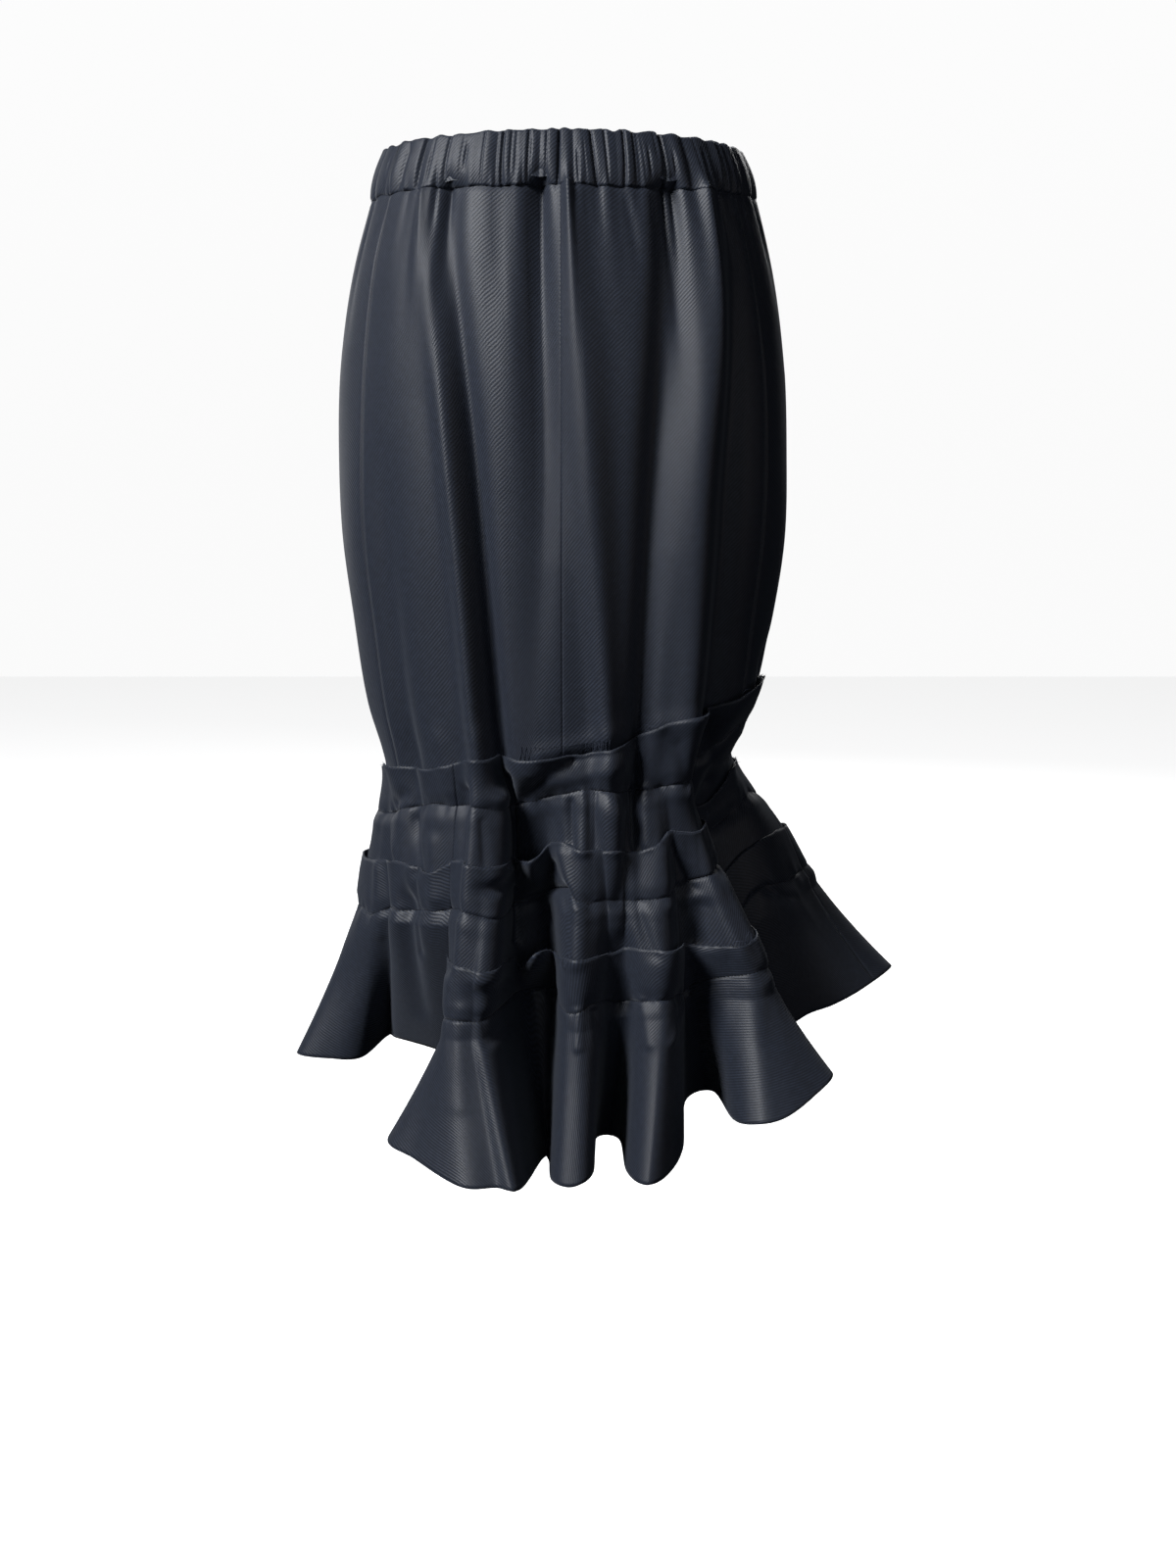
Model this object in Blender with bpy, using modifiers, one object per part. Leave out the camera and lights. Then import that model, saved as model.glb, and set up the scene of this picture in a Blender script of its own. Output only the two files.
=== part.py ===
"""Ruffled skirt: gathered waistband, egg-shaped body and one long strip wound round the knee as ruffles.

The origin is the middle of the waist, at half the height of the waistband. +Z is up, the front faces -Y
and +X is on the right of someone who looks at the front. Lengths are metres. A heading is an angle in
degrees round the skirt: 0 at the front, 90 at +X, 180 at the back.

Every piece of cloth is worked out on one smooth form. The form has a ring of known size at each height
(SECTIONS), long soft folds down the body (BODY_FOLDS) and the ruffle's folds down to the hem
(HEM_FOLDS). The wound strip climbs round that form as STRIP_PATH says, turn over turn.
"""

import math
from collections import namedtuple

import bpy
import numpy as np

# Cloth and sewing
CLOTH = 0.0014            # wall of the twill
BAND_WALL = 0.0030        # casing: two layers of twill and the elastic
SEAM_GAP = 0.0003         # space between pieces that meet
LAYER_GAP = 0.0009        # space between two layers on flat cloth, which narrows where the cloth slopes
SEAM_ALLOWANCE = 0.010    # how far a layer runs on below the stitch line that holds it
END_CLEARANCE = 0.15      # a piece's upright end stays back by this share of its wall, as ends flare on a curve
BODY_DROP = 0.0012        # from the band's lower edge down to the body's, as both edges lean outwards

# Waistband
BAND_TOP = 0.0160
BAND_BOTTOM = -0.0270
BAND_SIDE_DIP = 0.0040    # the top edge is lower over the hips
BAND_FULLNESS = 0.0014    # how far the band swells between its two edges
BAND_LEVELS = (0.0, 0.28, 0.72, 1.0)
GATHERS = 44              # gathers all round
GATHER_DEPTH = 0.0021     # how far each gather stands in and out
GATHER_DRIFT = ((5.5, 1.1), (16.5, 0.7))  # uneven spacing: waves of drift round the band and their size
GATHER_SCALLOP = 0.0014   # how far each gather lifts the top edge
COLUMNS_A_GATHER = 4

# Wound strip
STANDING = 0.039          # from the raw upper edge down to the stitch line
START = 95.0              # heading where the strip begins and each turn meets the next
STAND_OUT = 0.0022        # how far a raw edge stands off the cloth behind it
PINCH = 0.0032            # how far a stitch line is drawn in
PINCH_REACH = 0.008       # height over which it is drawn in
START_FADE = 14.0         # degrees over which the first stitch line begins to draw in
NEAR_SEAM = 0.008         # a row of points just above each stitch line
KNEE = -0.485             # height where the ruffle's folds begin to grow
SWING = 0.85              # share of the hem's way outwards that is straight; the rest curves out below
HIGH_LEVEL = 0.35         # share of the way down from there to the lowest stitch line where "high" holds
END_FOLDS = 3             # folds of turn two's end over which they grow as slowly as those of turn three

# Seams of the band and the body, as headings, each halfway down the side of a gather
CENTRE_FRONT = 0.0
SIDE = 8 * 360 / GATHERS

# Rings of the form: how far it reaches to the left, right, front and back, and how square it is
Section = namedtuple("Section", "height left right front back square")
SECTIONS = [
    Section(+0.016, 0.143, 0.142, 0.106, 0.110, 2.20),
    Section(-0.027, 0.157, 0.158, 0.115, 0.121, 2.20),
    Section(-0.075, 0.171, 0.171, 0.124, 0.134, 2.20),
    Section(-0.150, 0.183, 0.183, 0.133, 0.148, 2.20),
    Section(-0.230, 0.187, 0.187, 0.137, 0.150, 2.20),
    Section(-0.300, 0.186, 0.186, 0.137, 0.144, 2.20),
    Section(-0.370, 0.177, 0.176, 0.134, 0.138, 2.25),
    Section(-0.440, 0.166, 0.163, 0.130, 0.134, 2.30),
    Section(-0.495, 0.152, 0.139, 0.127, 0.133, 2.35),
    Section(-0.560, 0.160, 0.152, 0.136, 0.138, 2.35),
    Section(-0.640, 0.172, 0.170, 0.150, 0.150, 2.40),
    Section(-0.710, 0.178, 0.180, 0.156, 0.156, 2.40),
]

# Long folds of the body: heading, half width in degrees and reach outwards at three heights
FOLD_HEIGHTS = (-0.030, -0.210, -0.470)
BodyFold = namedtuple("BodyFold", "name heads widths outs")
BODY_FOLDS = [
    BodyFold("knee dent", (-57, -57, -57), (5, 5, 5), (0.0, 0.0, -0.007)),
    BodyFold("left ridge", (-47, -35.5, -29), (5, 4, 3.4), (0.003, 0.007, 0.008)),
    BodyFold("left trough", (-41, -30, -22.5), (5, 4, 3.2), (-0.004, -0.008, -0.008)),
    BodyFold("short dent", (-14, -13.5, -13), (5, 5, 4), (-0.004, -0.004, 0.0)),
    BodyFold("centre seam", (0, 0, 0), (4, 4, 4), (0.0, 0.0, 0.0)),
    BodyFold("centre ridge", (5, 8.5, 16), (6, 6, 4), (0.003, 0.006, 0.007)),
    BodyFold("right trough", (36, 28, 24), (5, 5, 4), (-0.005, -0.008, -0.008)),
    BodyFold("right ridge", (53, 44.5, 42), (6, 6, 5), (0.004, 0.007, 0.007)),
    BodyFold("edge trough", (60, 53, 52), (4, 4, 5), (-0.003, -0.004, -0.008)),
    BodyFold("right seam", (SIDE, SIDE, SIDE), (4, 4, 4), (0.0, 0.0, 0.0)),
    BodyFold("back ridge right", (115, 122, 126), (7, 7, 6), (0.003, 0.006, 0.006)),
    BodyFold("back trough right", (128, 134, 138), (6, 6, 5), (-0.003, -0.007, -0.007)),
    BodyFold("back ridge middle", (166, 162, 158), (7, 7, 6), (0.003, 0.006, 0.007)),
    BodyFold("back trough middle", (180, 174, 169), (6, 6, 5), (-0.003, -0.007, -0.007)),
    BodyFold("back ridge left", (206, 209, 212), (7, 7, 6), (0.003, 0.006, 0.006)),
    BodyFold("back trough left", (219, 221, 223), (6, 6, 5), (-0.003, -0.007, -0.007)),
    BodyFold("side ridge left", (248, 243, 240), (7, 7, 6), (0.002, 0.005, 0.005)),
    BodyFold("left seam", (360 - SIDE, 360 - SIDE, 360 - SIDE), (4, 4, 4), (0.0, 0.0, 0.0)),
]

# Folds of the ruffle, in order round the hem from the last turn's end at the front left. knee and seam
# are headings at the knee and at the lowest stitch line. high and low are the reach outwards at HIGH_LEVEL
# and at that stitch line, and x, y and z are the hem's own place.
HemFold = namedtuple("HemFold", "name knee seam high low x y z")
HEM_FOLDS = [
    HemFold("end turned in", -37, -36.5, -0.004, -0.020, -0.112, -0.062, -0.775),
    HemFold("first corner", -35, -35, 0.000, -0.006, -0.144, -0.135, -0.787),
    HemFold("first flank", -33, -33.5, 0.004, 0.008, -0.119, -0.172, -0.792),
    HemFold("first crest left", -31, -31, 0.008, 0.014, -0.080, -0.212, -0.800),
    HemFold("first crest", -27, -25.5, 0.008, 0.014, -0.052, -0.214, -0.800),
    HemFold("first crest right", -24, -21, 0.000, 0.008, -0.033, -0.215, -0.801),
    HemFold("deep valley left", -20, -16, -0.034, -0.056, -0.018, -0.115, -0.813),
    HemFold("deep valley right", -7, -3, -0.034, -0.066, -0.012, -0.112, -0.815),
    HemFold("second crest left", 1, 0.5, -0.008, -0.008, -0.008, -0.190, -0.803),
    HemFold("second crest", 6, 4.5, 0.002, 0.006, 0.008, -0.210, -0.801),
    HemFold("second flank", 11, 9, 0.000, 0.000, 0.024, -0.190, -0.797),
    HemFold("second valley left", 15, 14, -0.008, -0.018, 0.027, -0.092, -0.803),
    HemFold("second valley right", 20, 20, -0.008, -0.018, 0.047, -0.094, -0.803),
    HemFold("third flank", 24, 24, 0.000, 0.002, 0.052, -0.178, -0.800),
    HemFold("third crest", 28, 28, 0.004, 0.012, 0.066, -0.208, -0.800),
    HemFold("third crest right", 32, 32, 0.002, 0.006, 0.083, -0.195, -0.797),
    HemFold("third fall", 35, 36, -0.004, -0.008, 0.097, -0.163, -0.786),
    HemFold("third valley left", 38, 39.5, -0.010, -0.020, 0.103, -0.085, -0.772),
    HemFold("third valley right", 41, 44, -0.008, -0.014, 0.127, -0.078, -0.766),
    HemFold("fourth flank", 43.5, 48, 0.000, 0.012, 0.139, -0.160, -0.763),
    HemFold("fourth crest left", 45.5, 50, 0.006, 0.030, 0.156, -0.185, -0.758),
    HemFold("fourth crest", 47.5, 52.5, 0.009, 0.036, 0.178, -0.184, -0.753),
    HemFold("fourth crest right", 49.5, 55, 0.010, 0.036, 0.202, -0.168, -0.741),
    HemFold("fourth corner", 51.5, 57.5, 0.004, 0.026, 0.220, -0.142, -0.730),
    HemFold("fourth fall", 54, 60.5, -0.016, -0.004, 0.200, -0.095, -0.732),
    HemFold("side valley", 61, 66, -0.028, -0.022, 0.178, -0.055, -0.732),
    HemFold("side flank", 72, 74, -0.008, 0.006, 0.208, -0.032, -0.714),
    HemFold("side crest left", 82, 83, 0.014, 0.026, 0.235, -0.020, -0.707),
    HemFold("side crest", 91, 93, 0.023, 0.046, 0.262, -0.008, -0.696),
    HemFold("side corner", 99, 102, 0.025, 0.062, 0.292, 0.024, -0.684),
    HemFold("side fall", 107, 111, 0.014, 0.044, 0.276, 0.068, -0.697),
    HemFold("back valley 1", 116, 119, -0.006, -0.006, 0.212, 0.094, -0.725),
    HemFold("back crest 1 right", 124, 126, 0.006, 0.016, 0.222, 0.145, -0.717),
    HemFold("back crest 1 left", 132, 133, 0.006, 0.014, 0.182, 0.190, -0.720),
    HemFold("back valley 2", 140, 141, -0.012, -0.024, 0.122, 0.140, -0.745),
    HemFold("back crest 2 right", 149, 149, 0.004, 0.008, 0.108, 0.205, -0.735),
    HemFold("back crest 2 left", 157, 157, 0.004, 0.008, 0.065, 0.220, -0.735),
    HemFold("back valley 3", 166, 166, -0.012, -0.026, 0.038, 0.145, -0.755),
    HemFold("back crest 3 right", 176, 176, 0.004, 0.008, 0.016, 0.213, -0.742),
    HemFold("back crest 3 left", 185, 185, 0.004, 0.008, -0.028, 0.224, -0.742),
    HemFold("back valley 4", 194, 194, -0.014, -0.028, -0.048, 0.150, -0.757),
    HemFold("back crest 4 right", 203, 203, 0.004, 0.008, -0.082, 0.218, -0.742),
    HemFold("back crest 4 left", 212, 212, 0.004, 0.010, -0.125, 0.205, -0.742),
    HemFold("back valley 5", 221, 221, -0.010, -0.022, -0.128, 0.138, -0.757),
    HemFold("back crest 5 right", 231, 231, 0.004, 0.008, -0.185, 0.168, -0.750),
    HemFold("back crest 5 left", 240, 240, 0.004, 0.008, -0.213, 0.128, -0.748),
    HemFold("back valley 6", 248, 248, -0.010, -0.025, -0.168, 0.080, -0.762),
    HemFold("left fall", 256, 257, 0.000, 0.002, -0.222, 0.055, -0.757),
    HemFold("left corner", 264, 265, 0.004, 0.010, -0.238, 0.000, -0.757),
    HemFold("left crest", 271, 273, 0.004, 0.008, -0.206, -0.016, -0.757),
    HemFold("left flank", 278, 280, -0.002, -0.004, -0.180, -0.012, -0.757),
    HemFold("left valley", 286, 287, -0.008, -0.020, -0.160, 0.020, -0.747),
    HemFold("left inner crest", 296, 297, -0.004, -0.012, -0.148, -0.006, -0.741),
    HemFold("left inner fall", 310, 310, -0.004, -0.014, -0.117, -0.033, -0.741),
    HemFold("end of turn two", 323, 323.5, -0.004, -0.020, -0.096, -0.045, -0.745),
]

# The strip's raw upper edge, from its start at the right side: degrees wound and height
STRIP_PATH = [
    (0, -0.420), (27, -0.422), (38, -0.431), (55, -0.442), (74, -0.458), (97, -0.471), (125, -0.474),
    (140, -0.482), (160, -0.487), (185, -0.498), (275, -0.502), (355, -0.503), (385, -0.512),
    (398, -0.527), (424, -0.543), (449, -0.545), (465, -0.552), (500, -0.565), (545, -0.577),
    (635, -0.575), (715, -0.561), (729, -0.565), (742, -0.573), (752, -0.598), (761, -0.614), (782, -0.627),
    (795, -0.635), (825, -0.642), (869, -0.652),
]

# Places where a raw edge stands away from the cloth behind it: turn, heading, half width, distance
Gape = namedtuple("Gape", "turn heading width distance")
GAPES = [
    Gape(1, 58, 10, 0.009),
    Gape(1, -8, 9, 0.006),
    Gape(2, -10, 6, 0.024),
    Gape(3, -10, 6, 0.048),
    Gape(3, 42, 5, 0.012),
]

CLOTH_COLOUR = (0.018, 0.020, 0.027)

# Grid of each piece
BODY_LEVELS = (0.0, 0.10, 0.24, 0.40, 0.56, 0.72, 0.87, 1.0)  # down to the strip's raw edge
HANGING_LEVELS = (0.33, 0.67, 1.0)                            # from the last stitch line to the hem
COLUMNS_A_FOLD = 2
CLEAR_OF_END = 0.3        # no column stands nearer than this to a piece's end, as a share of their distance
SHARPEST = 0.35           # keeps a layer's corner from running out to a spike at a very sharp fold
BESIDE = 0.4              # how far past a piece's end, in folds, the cloth that it joins is looked at


def glide(x, known_x, known_y):
    """Smooth curve through known points: a cubic on each span, with the slope between the neighbours."""
    known_x = np.asarray(known_x, float)
    known_y = np.asarray(known_y, float)
    slope = np.gradient(known_y, known_x)
    x = np.clip(x, known_x[0], known_x[-1])
    span = np.clip(np.searchsorted(known_x, x, side="right") - 1, 0, len(known_x) - 2)
    width = known_x[span + 1] - known_x[span]
    s = (x - known_x[span]) / width
    start = known_y[span] * (1 + 2 * s) * (1 - s) ** 2 + known_y[span + 1] * s * s * (3 - 2 * s)
    return start + width * s * (1 - s) * (slope[span] * (1 - s) - slope[span + 1] * s)


def column(rows, name):
    """One named column of a table."""
    return np.array([getattr(row, name) for row in rows], float)


def smooth_step(x):
    """0 below 0, 1 above 1 and an even rise between."""
    x = np.clip(x, 0.0, 1.0)
    return x * x * (3 - 2 * x)


def ring(heading, height):
    """Point of the plain form and its outward direction: |x/a|^n + |y/b|^n = 1 in polar form."""
    rows = SECTIONS[::-1]
    left, right, front, back, square = (
        glide(height, column(rows, "height"), column(rows, name))
        for name in ("left", "right", "front", "back", "square")
    )
    sine = np.sin(np.radians(heading))
    cosine = np.cos(np.radians(heading))
    a = np.where(sine >= 0, right, left)
    b = np.where(cosine >= 0, front, back)
    reach = (np.abs(sine / a) ** square + np.abs(cosine / b) ** square) ** (-1 / square)
    x = reach * sine
    y = -reach * cosine
    normal_x = np.sign(x) * np.abs(x) ** (square - 1) / a ** square
    normal_y = np.sign(y) * np.abs(y) ** (square - 1) / b ** square
    length = np.hypot(normal_x, normal_y)
    return x, y, normal_x / length, normal_y / length


def body_relief(heading, height):
    """Reach of the body's long folds: a soft bell across each fold's own line, summed."""
    levels = np.array(FOLD_HEIGHTS[::-1])
    relief = np.zeros(np.broadcast(heading, height).shape)
    for fold in BODY_FOLDS:
        line = glide(height, levels, fold.heads[::-1])
        width = glide(height, levels, fold.widths[::-1])
        out = np.interp(height, levels, fold.outs[::-1])
        apart = (heading - line + 180) % 360 - 180
        relief = relief + out * np.exp(-((apart / width) ** 2))
    return relief


def fold_heading(t, height):
    """Heading of upright line t at a height on the body, where the lines lean with the long folds."""
    levels = FOLD_HEIGHTS[::-1]
    knee = fold_value(t, "knee")
    lines = np.array([fold.heads for fold in BODY_FOLDS])
    lines = np.vstack([lines[-2:] - 360, lines, lines[:2] + 360])
    heading = 0.0
    for level in range(len(levels)):
        share = glide(height, levels, np.arange(len(levels)) == level)
        heading = heading + share * np.interp(knee, lines[:, -1], lines[:, len(levels) - 1 - level])
    return heading


def fold_value(t, name):
    """Smooth value of one column of HEM_FOLDS at fold number t, which need not be whole."""
    return glide(t, np.arange(len(HEM_FOLDS)), column(HEM_FOLDS, name))


def heading_at(t):
    """Heading of the cloth's own upright line t, halfway down the ruffle."""
    return (fold_value(t, "knee") + fold_value(t, "seam")) / 2


def raw_height(t, turn):
    """Height of the raw upper edge of a turn, numbered from 1 at the strip's start."""
    heading = heading_at(t)
    wound = START - heading + 360 * (turn - 1) + np.where(t > T_START, 360, 0)
    angles, heights = zip(*STRIP_PATH)
    return glide(wound, angles, heights)


def stitch_heights(t):
    """Heights of the stitch lines below the knee: three in front, two behind."""
    lines = [raw_height(t, 1) - STANDING, raw_height(t, 2) - STANDING]
    third = np.where(t > T_START, lines[1], raw_height(t, 3) - STANDING)
    return lines + [third]


def form(t, height):
    """The cloth's inner surface at line t, down to the lowest stitch line, and the ring's outward way."""
    seams = stitch_heights(t)
    last_end = raw_height(0.0, 3) - STANDING
    full = seams[2] + (last_end - seams[2]) * smooth_step((t - T_END) / END_FOLDS + 1)
    grown = np.clip((KNEE - height) / (KNEE - full), 0, 1)
    heading = fold_heading(t, height) * (1 - grown) + fold_value(t, "seam") * grown
    x, y, normal_x, normal_y = ring(heading, height)
    down = (0.0, HIGH_LEVEL, 1.0)
    out = body_relief(heading, height) * (1 - grown)
    out = out + fold_value(t, "high") * glide(grown, down, (0.0, 1.0, 0.0))
    out = out + fold_value(t, "low") * glide(grown, down, (0.0, 0.0, 1.0))
    first, second, third = (np.exp(-(((height - seam) / PINCH_REACH) ** 2)) for seam in seams)
    behind = t > T_START
    begun = smooth_step((START - heading_at(t)) / START_FADE)
    drawn = np.where(behind, first + second, first * begun + second + third)
    out = out - PINCH * drawn
    return x + normal_x * out, y + normal_y * out, normal_x, normal_y


def outward(t, height):
    """Way out of the form at each point of a grid: as far from the cloth before it as from that after it."""
    first = np.where(t[:, :1] > 0, t[:, :1] - BESIDE, T_END - BESIDE)
    last = np.where(t[:, -1:] < T_END, t[:, -1:] + BESIDE, BESIDE)
    wide = np.concatenate([first, t, last], axis=1)
    x, y, _, _ = form(wide, np.pad(height, ((0, 0), (1, 1)), mode="edge"))
    along = np.stack([np.diff(x), np.diff(y)], axis=-1)
    along = along / np.linalg.norm(along, axis=-1, keepdims=True)
    square = np.stack([along[..., 1], -along[..., 0]], axis=-1)
    before = square[:, :-1]
    after = square[:, 1:]
    alike = (before * after).sum(axis=-1, keepdims=True)
    return (before + after) / np.maximum(1 + alike, SHARPEST)


def gape(t, turn):
    """How far the raw edge of a turn stands off the cloth behind it."""
    heading = heading_at(t)
    reach = np.full(np.shape(t), STAND_OUT)
    for place in GAPES:
        if place.turn == turn:
            reach = reach + place.distance * np.exp(-(((heading - place.heading) / place.width) ** 2))
    return reach


def ruffle_grid(t, height, turn, hanging):
    """Middle of the cloth of one turn: over the layer below at its own stitch line and off it above."""
    seams = stitch_heights(t)
    own = seams[turn - 1]
    free = seams[-1] - SEAM_ALLOWANCE
    level = np.maximum(height, free)
    x, y, normal_x, normal_y = form(t, level)
    points = np.stack([x, y, height], axis=-1)
    layer = np.full(height.shape, CLOTH + LAYER_GAP)
    if not hanging:
        layer = layer * (1 - smooth_step((own - height) / (own - seams[turn] - SEAM_GAP)))
    above = gape(t, turn) * smooth_step((height - own) / STANDING)
    points[..., :2] += outward(t, level) * layer[..., None]
    points[..., 0] += normal_x * above
    points[..., 1] += normal_y * above
    if hanging:
        drop = np.clip((free - height) / (free - fold_value(t, "z")), 0, 1)
        swing = drop * (SWING + (1 - SWING) * drop)
        points[..., 0] += (fold_value(t, "x") - points[..., 0]) * swing
        points[..., 1] += (fold_value(t, "y") - points[..., 1]) * swing
    return points


def t_where(heading, name=None):
    """Fold number at a heading, halfway down the ruffle or at a named level of HEM_FOLDS."""
    t = np.linspace(0, len(HEM_FOLDS) - 1, 4000)
    return float(np.interp(heading, fold_value(t, name) if name else heading_at(t), t))


T_START = t_where(START)
T_BEHIND = T_START + 0.001  # the same place, on the side where one more turn has been wound
T_END = len(HEM_FOLDS) - 1


def lines_between(first, last):
    """Upright lines of cloth between two fold numbers; a stretch over the split goes on at fold 0."""
    if last < first:
        return np.concatenate([lines_between(first, T_END)[:-1], lines_between(0, last)])
    from_column = math.ceil(first * COLUMNS_A_FOLD + CLEAR_OF_END)
    inner = np.arange(from_column, last * COLUMNS_A_FOLD - CLEAR_OF_END) / COLUMNS_A_FOLD
    if first < T_START < last:
        clear = inner[np.abs(inner - T_START) * COLUMNS_A_FOLD > CLEAR_OF_END]
        inner = np.sort(np.append(clear, T_BEHIND))
    return np.concatenate([[first], inner, [last]])


def part_ends(points, wall):
    """Moves a grid's two upright ends in by half the seam gap, so that pieces side by side stay apart."""
    for end, inward in ((0, 1), (-1, -2)):
        along = points[:, inward] - points[:, end]
        length = np.linalg.norm(along, axis=-1, keepdims=True)
        points[:, end] += along / length * (SEAM_GAP / 2 + wall * END_CLEARANCE)
    return points


def twill_material():
    """Dark charcoal twill with a soft satin face."""
    material = bpy.data.materials.new("charcoal_twill")
    material.use_nodes = True
    shader = material.node_tree.nodes["Principled BSDF"]
    shader.inputs["Base Color"].default_value = (*CLOTH_COLOUR, 1)
    shader.inputs["Roughness"].default_value = 0.55
    shader.inputs["Metallic"].default_value = 0.0
    material.diffuse_color = (*CLOTH_COLOUR, 1)
    return material


def cloth_object(name, points, wall, collection, kept=None):
    """A named piece of cloth: a grid of points, or the kept cells of it, with a Solidify wall on both sides."""
    points = part_ends(points, wall)
    rows, columns = points.shape[:2]
    corner = np.arange(rows * columns).reshape(rows, columns)
    faces = np.stack([corner[:-1, :-1], corner[1:, :-1], corner[1:, 1:], corner[:-1, 1:]], axis=-1)
    faces = faces.reshape(-1, 4) if kept is None else faces[kept]
    used, faces = np.unique(faces, return_inverse=True)
    mesh = bpy.data.meshes.new(name)
    mesh.from_pydata(points.reshape(-1, 3)[used].tolist(), [], faces.reshape(-1, 4).tolist())
    mesh.validate()
    piece = bpy.data.objects.new(name, mesh)
    collection.objects.link(piece)
    piece.data.materials.append(twill_material())
    solidify = piece.modifiers.new("wall", "SOLIDIFY")
    solidify.thickness = wall
    solidify.offset = 0.0
    solidify.use_even_offset = True
    mesh.shade_smooth()
    return piece


def band_points(first, last):
    """A length of the waistband: gathers are uneven waves round it, full between its two edges."""
    count = round((last - first) / 360 * GATHERS * COLUMNS_A_GATHER)
    heading = np.linspace(first, last, count + 1)[None, :]
    drift = sum(size * np.sin(np.radians(waves * heading)) for waves, size in GATHER_DRIFT)
    wave = np.sin(np.radians(GATHERS * heading) + drift)
    side = np.sin(np.radians(heading)) ** 2
    top = BAND_TOP - BAND_SIDE_DIP * side + GATHER_SCALLOP * wave
    share = np.array(BAND_LEVELS)[:, None]
    height = BAND_BOTTOM + (top - BAND_BOTTOM) * share
    x, y, normal_x, normal_y = ring(heading, height)
    fullness = np.sin(np.pi * share)
    out = BAND_WALL / 2 + BAND_FULLNESS * fullness + GATHER_DEPTH * wave * (1 + fullness) / 2
    return np.stack([x + normal_x * out, y + normal_y * out, height], axis=-1)


def body_points(first, last):
    """A body panel, from just under the waistband to just below the stitch line of the strip's first turn.

    Past the strip's start the first turn lies lower, so extra rows go on down to it there. Returns the grid
    and which of its cells are cloth.
    """
    t = lines_between(first, last)[None, :]
    past_start = (t > T_START) & (first < T_START < last)
    begin = np.where(past_start, raw_height(T_START, 1), raw_height(t, 1))
    top = BAND_BOTTOM - BODY_DROP
    upper = top + (begin - top) * np.array(BODY_LEVELS)[:, None]
    rows = [upper, begin - STANDING + NEAR_SEAM, begin - STANDING, begin - STANDING - SEAM_ALLOWANCE]
    if past_start.any():
        seam = raw_height(t, 1) - STANDING
        rows += [seam + STANDING, seam + NEAR_SEAM, seam, seam - SEAM_ALLOWANCE]
    height = np.concatenate(rows)
    x, y, _, _ = form(np.broadcast_to(t, height.shape), height)
    kept = np.ones((height.shape[0] - 1, height.shape[1] - 1), bool)
    if past_start.any():
        kept[-4:, ~past_start[0, :-1]] = False
    return np.stack([x, y, height], axis=-1), kept


def ruffle_points(turn, first, last, hanging):
    """A length of the strip, down to the next turn's stitch line or to its own free hem."""
    t = lines_between(first, last)[None, :]
    raw = raw_height(t, turn)
    seam = raw - STANDING
    rows = [raw, seam + NEAR_SEAM, seam, seam - SEAM_ALLOWANCE]
    if hanging:
        hem = fold_value(t, "z")
        start = seam - SEAM_ALLOWANCE
        rows += [start + (hem - start) * share for share in HANGING_LEVELS]
    else:
        next_seam = raw_height(t, turn + 1) - STANDING
        rows += [next_seam + STANDING, next_seam + NEAR_SEAM, next_seam, next_seam - SEAM_ALLOWANCE]
    height = np.concatenate(rows)
    return ruffle_grid(np.broadcast_to(t, height.shape), height, turn, hanging)


def build():
    """All pieces of the skirt, in the order in which they are sewn."""
    for old in list(bpy.data.objects):
        bpy.data.objects.remove(old, do_unlink=True)
    skirt = bpy.data.collections.new("ruffled_skirt")
    bpy.context.scene.collection.children.link(skirt)

    cloth_object("waistband_front_left", band_points(-SIDE, CENTRE_FRONT), BAND_WALL, skirt)
    cloth_object("waistband_front_right", band_points(CENTRE_FRONT, SIDE), BAND_WALL, skirt)
    cloth_object("waistband_back", band_points(SIDE, 360 - SIDE), BAND_WALL, skirt)

    centre = t_where(CENTRE_FRONT, "knee")
    right = t_where(SIDE, "knee")
    left = t_where(360 - SIDE, "knee")
    for name, first, last in (
        ("body_front_left", left, centre),
        ("body_front_right", centre, right),
        ("body_back", right, left),
    ):
        points, kept = body_points(first, last)
        cloth_object(name, points, CLOTH, skirt, kept)

    for name, turn, first, last, hanging in (
        ("ruffle_1_front", 1, 0, T_START, False),
        ("ruffle_1_back", 1, T_BEHIND, T_END, False),
        ("ruffle_2_front", 2, 0, T_START, False),
        ("ruffle_2_back", 2, T_BEHIND, T_END, True),
        ("ruffle_3_front", 3, 0, T_START, True),
    ):
        cloth_object(name, ruffle_points(turn, first, last, hanging), CLOTH, skirt)


build()
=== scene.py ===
"""Dressed look of the ruffled skirt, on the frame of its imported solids.

The origin is the middle of the waist, +Z is up, the front faces -Y and +X is on the right of someone who
looks at the front. Lengths are metres, except where a table says millimetres. A heading is an angle in
degrees round the skirt: 0 at the front, 90 at +X, 180 at the back. A line t is one upright line of the
cloth, counted in folds of the hem.
"""
import math
from collections import namedtuple

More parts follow.
